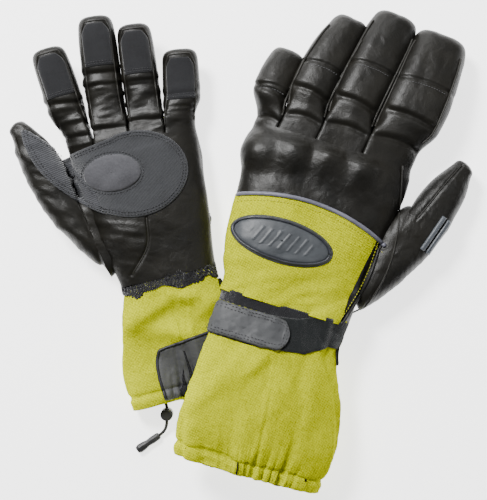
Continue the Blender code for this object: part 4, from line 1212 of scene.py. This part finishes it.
def build_badge(glove, cover, centre, half):
    """The oval badge: a flange, a ribbed face and the bead between them."""
    def flange(r, flat):
        return -0.5 * smoothstep((r - 0.9) / 0.1)

    def relief(r, flat):
        x, y = flat[:, 0] - centre[0], flat[:, 1] - centre[1]
        inside = smoothstep((0.72 - r) / 0.06) * smoothstep((half[1] * 0.42 - np.abs(y)) / 0.8)
        bars = np.clip(np.sin((x - 0.45 * y) * 2 * math.pi / 6.2) * 1.6 - 0.55, 0, 1)
        return 0.5 * (1 - r ** 2) + 0.34 * inside * bars

    face_half = (half[0] - 3.4, half[1] - 3.0)
    bead = oval_path(centre, (half[0] - 2.3, half[1] - 2.1))
    glove.sew(disc, "badge_base", cover, centre, half, 0.0, 1.3, BADGE, shape=flange, slot="badge_rubber")
    glove.sew(disc, "badge_face", cover, centre, face_half, 0.0, 2.2, BADGE, rings=46, spokes=200,
              shape=relief, slot="badge_rubber", replaces=("badge",))
    glove.sew(welt, "badge_rim_bead", cover, [bead], 0.95, RIM, lift=1.5, slot="black_rubber",
              replaces=("badge_rim",))


def build_strap(glove, cover, left, right, v, half):
    """The closing tab with its hook pad, both on the strap's own body."""
    body = glove.name("strap")
    top = [(left, v + half), (left * 0.4 + right * 0.6, v + half), (right - 8, v + half * 0.98),
           (right - 3.6, v + half * 0.78), (right - 0.9, v + half * 0.42), (right, v + 0.4)]
    low = [(u, 2 * v - w) for u, w in top]
    pad = [[(right - 26, v + side * (half - 3)), (right - 6, v + side * (half - 3.5))] for side in (1, -1)]
    glove.sew(ruled, "strap_hook_pad", cover, *pad, 0.7, LOOP, slot="hook_and_loop",
              replaces=("strap_hook",), body=body)

    def puffed(p):
        return 0.35 * wrinkle(np.column_stack([p, p[:, 0] * 0]), 8.0, 61)

    glove.sew(ruled, "strap_tab_leather", cover, top, low, 2.1, STRAP_LEATHER, spacing=0.8, shape=puffed,
              slot="strap_leather", replaces=("strap_tab",), body=body)
    rows = []
    for inset in (1.6, 3.6):
        above = [(min(u, right - inset), w - inset * (1 if w > v + 3 else 0.2)) for u, w in top[:-1]]
        below = [(u, 2 * v - w) for u, w in above]
        rows.append(above + [(right - inset, v)] + below[::-1])
    glove.sew(stitches, "strap_stitches", cover, rows, THREAD, pitch=2.3, length=1.6, radius=0.3, lift=2.1,
              slot="strap_leather", body=body)


def build_bars(glove, cover, lift):
    """Two raised bars side by side on the back of the thumb."""
    low, high = glove.bar_line()
    out = np.array([low[1] - high[1], high[0] - low[0]]) / np.linalg.norm(high - low)
    for index, side in enumerate((-BAR_GAP / 2, BAR_GAP / 2), 1):
        edges = [[end + out * (side + half) for end in (low, high)] for half in (BAR_HALF, -BAR_HALF)]
        glove.sew(ruled, f"thumb_wiper_{index}", cover, *edges, lift, BAR, spacing=0.5,
                  slot="wiper_rubber", replaces=(f"thumb_bar_{index}",), body=glove.body("thumb"))


# ---- glove b: back of the hand up ----

B_EDGE = [(39, 12), (50, 50), (52, 81)]
B_SIDE = [(50, 138), (60, 95), (61, 60), (50, 22)]
B_KNUCKLES = arc_line((-49, 24, 118, 127, 4), 4)
B_SEAM_AT = {"index": 0.57, "middle": 0.55, "ring": 0.52, "little": 0.40}
B_FOLD_AT = {"index": 8.0, "middle": 7.0, "ring": 5.0, "little": -2.0}
# A cuff's folds: where, how long and wide, which way in degrees, and how high in mm.
B_FOLDS = [(-30, -42, 24, 5, 62, 2.4), (8, -52, 30, 6, 78, 1.8), (-8, -25, 18, 4, 50, 1.6),
           (36, -40, 26, 4.5, 100, 1.5), (20, -22, 14, 3.5, 128, -1.4), (-2, -24, 10, 3.0, 60, -1.4),
           (-40, -60, 22, 5, 80, -1.4), (5, -86, 12, 4, 60, 1.6)]


def b_seam(digit):
    """The seam across a finger, where its longer leather cap begins."""
    low, high = B.knuckle(digit)[1], B.tip(digit)
    return across_line(B.digits[digit], low + (high - low) * B_SEAM_AT[digit], slant=1.5, bow=2.5)


def b_creases(digit):
    """The creases where a finger bends: at its root and halfway to the seam."""
    low = B.knuckle(digit)[1] + B_FOLD_AT[digit]
    return [across_line(B.digits[digit], low, bow=2.0, share=0.8),
            across_line(B.digits[digit], low + 19.0, bow=1.5, share=0.7)]


def b_thumb_seam():
    thumb = B.digits["thumb"]
    return side_line(thumb, -0.45, 92.0, thumb.centres[-1, 1] - 3.0)


def hand_b(p):
    u, v = p[:, 0], p[:, 1]
    share = top_share(B.hand, p)
    out = np.zeros(len(p))
    for at_u, at_v in B_KNUCKLES:
        out += 5.2 * gauss(p, at_u, at_v, 8.0, 8.6) - 0.9 * gauss(p, at_u + 12.5, at_v - 1, 4.0, 12.0)
    out += 1.3 * ridge(v - 117, 14)
    out += groove(p, arc_line((-62, 45, 101, 98, 7)), 6.0, 0.8)
    out += groove(p, B_SIDE, 1.0, 0.7)
    out += 1.0 * wrinkle(p * [1, 0.7, 1], 26.0, 3) * smoothstep((v - 92) / 8)
    out -= 0.12 * ridged(p, 12.0, 5)
    # Long folds run slantwise across the panel, from the wrist.
    slant = np.stack([u * 0.45 - v * 0.9, u * 0.30 + v * 0.15, p[:, 2] * 0.3], 1)
    out += 2.4 * wrinkle(slant, 12.0, 8, 2) * smoothstep((70 - v) / 45) * smoothstep((u + 66) / 20)
    out += 0.35 * wrinkle(p, 13.0, 2)
    return out * share + 0.5 * wrinkle(p, 24.0, 9) * (1 - share)


def finger_b(name):
    surface = B.digits[name]
    seam, creases = b_seam(name), b_creases(name)

    def amount(p):
        out = groove(p, seam, 0.9, 0.9)
        line = smooth_path(seam, 2.0)
        beyond = p[:, 1] - np.interp(p[:, 0], line[:, 0], line[:, 1])
        out += 0.45 * smoothstep(beyond / 1.6) + 0.7 * ridge(beyond + 12, 8)
        for path in creases:
            out += groove(p, path, 1.9, 1.3) - groove(p, path + [0, 4.5], 3.0, 0.7)
        out += 0.55 * wrinkle(p * [1, 0.6, 1], 15.0, 11) - 0.1 * ridged(p, 9.0, 12)
        root = smoothstep((p[:, 1] - B.plan["hand"][1] + 1.0) / 8)
        return out * top_share(surface, p, 4.0) * root
    return amount


def thumb_b(p):
    return groove(p, b_thumb_seam(), 1.0, 0.9) + 0.6 * wrinkle(p, 16.0, 21) - 0.2 * ridged(p, 8.0, 22)


def loop_low_b(u, top):
    return float(np.interp(u, [-20, 10, 30, 42, 50], [-11.5, -9, -7, -2, 2])) if top else -9.0


def loop_high_b(u, top):
    return float(np.interp(u, [-30, 0, 18, 37, 50], [11.0, 12.5, 15, 21.5, 21.5])) if top else 12.0


def dress_b():
    digits = B.digits.values()
    cover = Cover([B.hand, B.panel, B.cuff, *digits])
    loop = band(B, loop_low_b, loop_high_b, 1.5, rows=22, shape=lambda p: 0.25 * wrinkle(p, 3.0, 71))
    B.fix(loop.build(B.name("strap_loop_pile"), LOOP), "hook_and_loop", ("strap_loop_band",))
    build_elastic(B, lambda u, top: 12.0, lambda u, top: 20.5, 0.6, 14, 40, 0.5)
    build_strap(B, Cover([B.hand, B.panel, B.cuff, loop, *digits]), -52.0, 8.6, 0.6, 11.0)
    build_badge(B, cover, (-15.0, 62.5), (36.5, 15.4))
    B.sew(welt, "piping_cord", cover, [B.piping], 1.5, PIPING, lift=0.6, slot="piping",
          replaces=("piping",))
    rows = [offset_path(B.piping, -4.6), [(u - 2.5, v) for u, v in B_EDGE]]
    B.sew(stitches, "panel_stitches", cover, rows, YELLOW_THREAD, pitch=2.3, slot="woven_textile")
    B.sew(welt, "panel_edge_welt", cover, [B_EDGE], 1.2, LEATHER_SIDE, lift=0.3, slot="leather")
    B.sew(welt, "side_seam_welt", cover, [B_SIDE], 0.65, LEATHER_TIP, lift=0.1, slot="leather")
    for digit in FINGERS:
        shares = {"index": (-0.9, 0.8), "little": (0.9,)}.get(digit, (-0.9, 0.9))
        low, high = B.web(digit) - 3.0, B.tip(digit) - 11.0
        lines = [side_line(B.digits[digit], share, low, high) for share in shares]
        B.sew(welt, digit + "_welts", cover, lines, 0.85, LEATHER_TIP, lift=0.25, slot="leather", digit=digit)
        rows = [b_seam(digit)[1:-1] - [0, 3.0]]
        B.sew(stitches, digit + "_stitches", cover, rows, PALE_THREAD, pitch=1.9, length=1.2, radius=0.22,
              slot="leather", digit=digit)
    B.sew(welt, "thumb_seam_welt", cover, [b_thumb_seam()], 0.6, LEATHER_TIP, lift=0.1, slot="leather",
          digit="thumb")
    build_bars(B, cover, 2.0)


def dress_palm_b():
    """The suede on the side that glove b lies on, as on glove a."""
    lower = Cover([B.hand, B.cuff, *B.digits.values()], sign=-1)
    B.sew(disc, "palm_patch_suede", lower, (9.0, 108.0), (42.0, 27.0), 0.2, 1.0, RIBBED, slot="suede",
          replaces=("palm_patch",))
    pad = B.sew(disc, "palm_pad_suede", lower, (18.0, 112.0), (24.0, 14.0), 0.2, 2.0, SUEDE, slot="suede",
                replaces=("palm_pad",))
    for digit in FINGERS:
        surface, high = B.digits[digit], B.tip(digit) - 6.0
        sides = [side_line(surface, share, high - 26.0, high) for share in (0.62, -0.62)]
        B.sew(ruled, digit + "_tip_suede", lower, *sides, 0.8, TIP_SUEDE, spacing=0.9, slot="suede",
              replaces=(digit + "_tip_patch",), digit=digit)
    sides = [side_line(B.digits["thumb"], share, 84.0, 140.0) for share in (0.5, -0.4)]
    B.sew(ruled, "thumb_patch_suede", lower, *sides, 1.0, RIBBED, spacing=1.0, slot="suede",
          replaces=("thumb_patch",), digit="thumb")


# ---- glove a: palm up ----

A_SEAM = [(6, 62), (10, 42), (25, 25)]
A_PALM = (7, 93), (37, 30)
A_TOP = np.concatenate([[(54, 116)], oval_arc(*A_PALM, 68, 178)])
A_LOW = np.concatenate([[(37, 72)], oval_arc(*A_PALM, 302, 182)])
A_OUT = bezier([(35, 71), (52, 82), (80, 108), (78, 140)], np.linspace(0, 1, 14))
A_IN = bezier([(36, 86), (42, 98), (58, 126), (75, 140)], np.linspace(0, 1, 14))
A_EDGE = [(33, 21), (43, 82)]
A_PAD = (22, 97, 20, 13, 0.12)
A_FOLDS = [(20, -4, 10, 4.0, 160, 3.6), (-8, 2, 9, 3.6, 20, 3.4), (30, -6, 9, 4, 120, 3.0),
           (8, -20, 16, 4.5, 20, 3.0), (6, -8, 9, 5, 10, -2.4), (-22, -8, 9, 4, 150, 3.0),
           (36, -34, 20, 5, 85, -1.2), (-5, -40, 16, 5, 70, 1.4)]
TIP_PAD = 29.0
TIP_MARGIN = 6.0


def hand_a(p):
    u, v = p[:, 0], p[:, 1]
    share = top_share(A.hand, p)
    out = 0.9 * wrinkle(p * [1, 0.8, 1], 28.0, 51) - 0.1 * ridged(p, 14.0, 52)
    out += groove(p, A_SEAM, 1.0, 1.0)
    # The heel of the thumb swells, and the leather puckers below the sewn patch.
    out += 3.0 * gauss(p, 30, 48, 17, 24, 0.35)
    pucker = smoothstep((segment_distance(p[:, :2], smooth_path(A_LOW, 2.0)) - 1.0) / 4)
    fan = np.stack([u * 0.22 + v * 0.12, v * 0.9 - u * 0.35, p[:, 2] * 0.2], 1)
    out += 1.7 * wrinkle(fan, 7.5, 53, 2) * gauss(p, 34, 54, 20, 15) * pucker
    out += 0.9 * wrinkle(np.stack([u * 0.25, v, p[:, 2] * 0.2], 1), 6.5, 54, 2) * smoothstep((v - 100) / 16)
    under = sum(2.2 * gauss(p, *knuckle, 8.0) for knuckle in ((-34, 97), (-14, 103), (9, 106), (31, 105)))
    return out * share + under * (1 - share)


def finger_a(name):
    surface = A.digits[name]
    start, last = A.plan["hand"][1], A.tip(name)

    def amount(p):
        u, v = p[:, 0], p[:, 1]
        folds = np.stack([u * 0.28, v, p[:, 2] * 0.2], 1)
        out = 1.5 * wrinkle(folds, 7.2, 55 + len(name), 2) * smoothstep((last - 34 - v) / 16)
        for place in (start + 12, (start + last) / 2 - 3, last - TIP_PAD - 11):
            bow = place + 1.3 * np.sin((u - surface.centres[:, 0].mean()) / 9)
            out += 0.4 * np.exp(-((v - bow - 4.0) / 2.8) ** 2) - 0.7 * np.exp(-((v - bow) / 1.3) ** 2)
        out -= 0.1 * ridged(p, 9.0, 57)
        return out * top_share(surface, p, 4.0) * smoothstep((v - start + 1.0) / 7)
    return amount


def thumb_a(p):
    slant = np.stack([p[:, 0] * 0.3 + p[:, 1] * 0.1, p[:, 1] * 0.8 - p[:, 0] * 0.4, p[:, 2] * 0.2], 1)
    return 1.3 * wrinkle(slant, 7.5, 58, 2) - 0.1 * ridged(p, 10.0, 59)


def beside(surface, offset, low, high):
    """The two lines along a digit that lie offset(v) mm to either side, between two heights."""
    keep = (surface.centres[:, 1] >= low) & (surface.centres[:, 1] <= high)
    c, s = surface.centres[keep], surface.sides[keep]
    out = s * offset(c[:, 1])[:, None]
    return (c + out)[:, :2], (c - out)[:, :2]


def dress_fingers_a(cover):
    """The suede on each fingertip with its stitches, and the welts round the finger."""
    for digit in FINGERS:
        surface, high = A.digits[digit], A.tip(digit) - TIP_MARGIN

        def pad_half(v):
            return 9.6 - 4.6 * np.clip((v - (high - 9)) / 9, 0, 1) ** 2.2

        def welt_half(v):
            return 10.2 - 3.6 * np.clip((v - (high - 9)) / 11, 0, 1) ** 2.0

        left, right = beside(surface, pad_half, high - TIP_PAD - 0.5, high)
        A.sew(ruled, digit + "_tip_suede", cover, left, right, 0.8, TIP_SUEDE, spacing=0.8, slot="suede",
              replaces=(digit + "_tip_patch",), digit=digit)
        rows = [[left[0] + [-1.0, up], right[0] + [1.0, up]] for up in (1.4, 3.0)]
        A.sew(stitches, digit + "_tip_stitches", cover, rows, THREAD, pitch=1.9, length=1.3, radius=0.24,
              lift=0.9, slot="suede", digit=digit)
        left, right = beside(surface, welt_half, A.web(digit) - 9, high + 2.0)
        loop = np.concatenate([left, right[::-1]])
        A.sew(welt, digit + "_welts", cover, [loop], 0.6, LEATHER_TIP, lift=0.15, slot="leather",
              digit=digit)


def padded_up(r, flat):
    return 1.5 * (1 - r ** 2.5) + 0.5 * wrinkle(np.column_stack([flat * [1, 1.4], r]), 13.0, 66)


def dress_palm_a(cover):
    """The sewn palm patch with its pad, and the ribbed strip over the thumb."""
    A.sew(ruled, "palm_patch_suede", cover, A_TOP, A_LOW, 1.1, PALM, spacing=0.9, slot="suede",
          replaces=("palm_patch",))
    A.sew(ruled, "thumb_patch_suede", cover, A_OUT, A_IN, 1.6, RIBBED, spacing=0.9, slot="suede",
          replaces=("thumb_patch",), digit="thumb")
    u, v, a, b, turn = A_PAD
    pad = A.sew(disc, "palm_pad_suede", cover, (u, v), (a, b), turn, 2.0, SUEDE, rings=26, spokes=140,
                shape=padded_up, slot="suede", replaces=("palm_pad",))
    thread = {"pitch": 2.2, "length": 1.5, "radius": 0.3}
    rows = []
    for inset in (1.8, 3.6):
        rows += [offset_path(A_TOP, inset), offset_path(A_LOW, -inset)]
    rows += [oval_path((u, v), (a + more, b + more), turn, 40) for more in (-0.4, 1.6)]
    A.sew(stitches, "palm_stitches", cover, rows, THREAD, lift=1.3, slot="suede", **thread)
    rows = [offset_path(A_OUT, 2.0), offset_path(A_OUT, 4.0), offset_path(A_IN, -2.0)]
    A.sew(stitches, "thumb_stitches", cover, rows, THREAD, lift=1.7, slot="suede", digit="thumb", **thread)
    A.sew(welt, "palm_seam_welt", cover, [A_SEAM], 0.6, LEATHER_TIP, lift=0.0, slot="leather")
    tips = [side_line(A.digits["thumb"], share, 125.0, 140.0) for share in (-0.55, 0.6)]
    A.sew(welt, "thumb_tip_welts", cover, tips, 0.7, LEATHER_TIP, lift=0.2, slot="leather", digit="thumb")


def elastic_low_a(u, top):
    return 10.5 + 2.0 * math.sin(u / 5.0) + 0.9 * math.sin(u / 2.1)


def elastic_high_a(u, top):
    return 19.0 + 1.6 * math.sin(u / 1.1 + math.sin(u / 3.0))


def dress_cuff_a(cover):
    build_elastic(A, elastic_low_a, elastic_high_a, 0.5, 20, 52, 1.5)
    left, right = [(19, -31), (23, -45), (21, -66)], [(-30, -25), (-30, -66)]
    A.sew(ruled, "cuff_patch_leather", cover, left, right, 1.2, PAD_LEATHER, slot="leather",
          replaces=("cuff_patch",))
    edge = [(-30, -25), (14, -30), (20, -33), (23, -45), (22, -66)]
    A.sew(welt, "cuff_patch_piping", cover, [edge], 1.1, DARK_PIPING, lift=0.9, slot="piping")
    rows = [[(18.5, -59.2), (-28.0, -57.0)]]
    A.sew(stitches, "cuff_patch_stitches", cover, rows, THREAD, lift=1.2, slot="leather")


def dress_back_a(lower):
    """The strap, badge, piping and bars on the side that glove a lies on."""
    loop = band(A, lambda u, top: -11.0, lambda u, top: 9.0, 1.5, rows=16)
    rows, count = loop.grid.shape[:2]
    turn = np.arange(count) / count
    underneath = np.tile((turn > 0.53) & (turn < 0.97), (rows, 1))
    pile = loop.build(A.name("strap_loop_pile"), LOOP, keep=underneath)
    A.fix(pile, "hook_and_loop", ("strap_loop_band",))
    build_strap(A, Cover([A.hand, A.panel, A.cuff, loop], sign=-1), -37.0, 7.0, -1.0, 9.6)
    build_badge(A, lower, (-9.0, 52.0), (29.0, 12.0))
    A.sew(welt, "piping_cord", lower, [A.piping[1:]], 1.3, PIPING, lift=0.4, slot="piping",
          replaces=("piping",))
    build_bars(A, lower, 1.6)


def dress_a():
    cover = Cover([A.hand, A.cuff, *A.digits.values()])
    dress_fingers_a(cover)
    dress_palm_a(cover)
    dress_cuff_a(cover)
    dress_back_a(Cover([A.hand, A.panel, A.cuff, *A.digits.values()], sign=-1))


# ---- the drawcord with its lock and pull ----

# The cord's route as it lies, in mm from the middle of the frame.
CORD_SHIFT = np.array([1.7, 0.7, 0.0])
CORD_ROUTE = [(-56.0, -108.9, 4.0), (-55.4, -110.5, 5.4), (-55.0, -112.2, 6.4), (-55.0, -114.4, 6.4),
              (-55.0, -118.4, 6.4), (-55.0, -122.4, 6.4), (-55.4, -125.4, 5.6), (-56.4, -128.1, 4.1),
              (-58.2, -130.5, 3.1), (-60.8, -132.6, 2.8), (-63.6, -134.5, 2.8), (-66.4, -136.4, 2.8)]
CORD_DIAMETER = 2.2
CORD_SIDES = 20
CORD_PLAIT = 0.05


def build_cord():
    """The braided cord, as one tube with raised strands laid round it both ways."""
    path = smooth_path(CORD_ROUTE, 0.5) + CORD_SHIFT
    upward = np.tile(UP, (len(path), 1))
    rings = tube_points(path, upward, CORD_DIAMETER / 2, CORD_SIDES, taper=False)
    turn = 2 * math.pi * np.arange(CORD_SIDES)[None, :] / CORD_SIDES
    along = np.linspace(0, 1, len(path))[:, None] * 44
    plait = CORD_PLAIT * (np.cos(3 * (turn + along)) + np.cos(3 * (turn - along)))
    middle = path[:, None]
    points = (middle + (rings - middle) * (1 + plait[:, :, None])).reshape(-1, 3) * MM
    obj = outward(add_mesh("drawcord_braid", points, tube_faces(len(path), CORD_SIDES), CORD))
    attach(obj, "glove_a_main")
    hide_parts("drawcord_tail")


def own_grain(kind, name, *colours):
    """A material whose grain follows the piece itself, for a node kept as it is in the frame."""
    made = kind(name, *colours)
    nodes, links = made.node_tree.nodes, made.node_tree.links
    place = nodes.new("ShaderNodeTexCoord")
    scale = nodes.new("ShaderNodeVectorMath")
    scale.operation = "SCALE"
    scale.inputs["Scale"].default_value = 1.0 / MM
    links.new(place.outputs["Object"], scale.inputs[0])
    for link in list(links):
        if link.from_node.type == "ATTRIBUTE":
            links.new(scale.outputs["Vector"], link.to_socket)
    return made


def dress_cord():
    build_cord()
    moulded = own_grain(rubber, "lock_plastic", (0.008, 0.008, 0.009), (0.022, 0.022, 0.024), (0.3, 0.48))
    pull = own_grain(rubber, "pull_plastic", (0.010, 0.010, 0.011), (0.028, 0.028, 0.03), (0.35, 0.55))
    wire = own_grain(steel, "spring_wire")
    for node, material in (("cord_lock_body", moulded), ("cord_lock_button", moulded),
                           ("cord_pull", pull), ("cord_lock_spring", wire)):
        mesh = frame["nodes"][node].data
        mesh.materials.clear()
        mesh.materials.append(material)


B, A = Glove("b"), Glove("a")
build_skins(B, hand_b, finger_b, thumb_b, 9, (0.03, 0.56), B_EDGE)
build_cuff(B, -98.0, [(34, -6), (54, -40), (66, -86)], 26, B_FOLDS)
dress_b()
build_skins(A, hand_a, finger_a, thumb_a, 7, (0.60, 0.93), A_EDGE)
build_cuff(A, -68.0, [(50, 10), (52, -30), (52, -60)], 20, A_FOLDS, 3.6)
dress_a()
dress_cord()
dress_palm_b()
make_camera()
make_floor()
make_light()
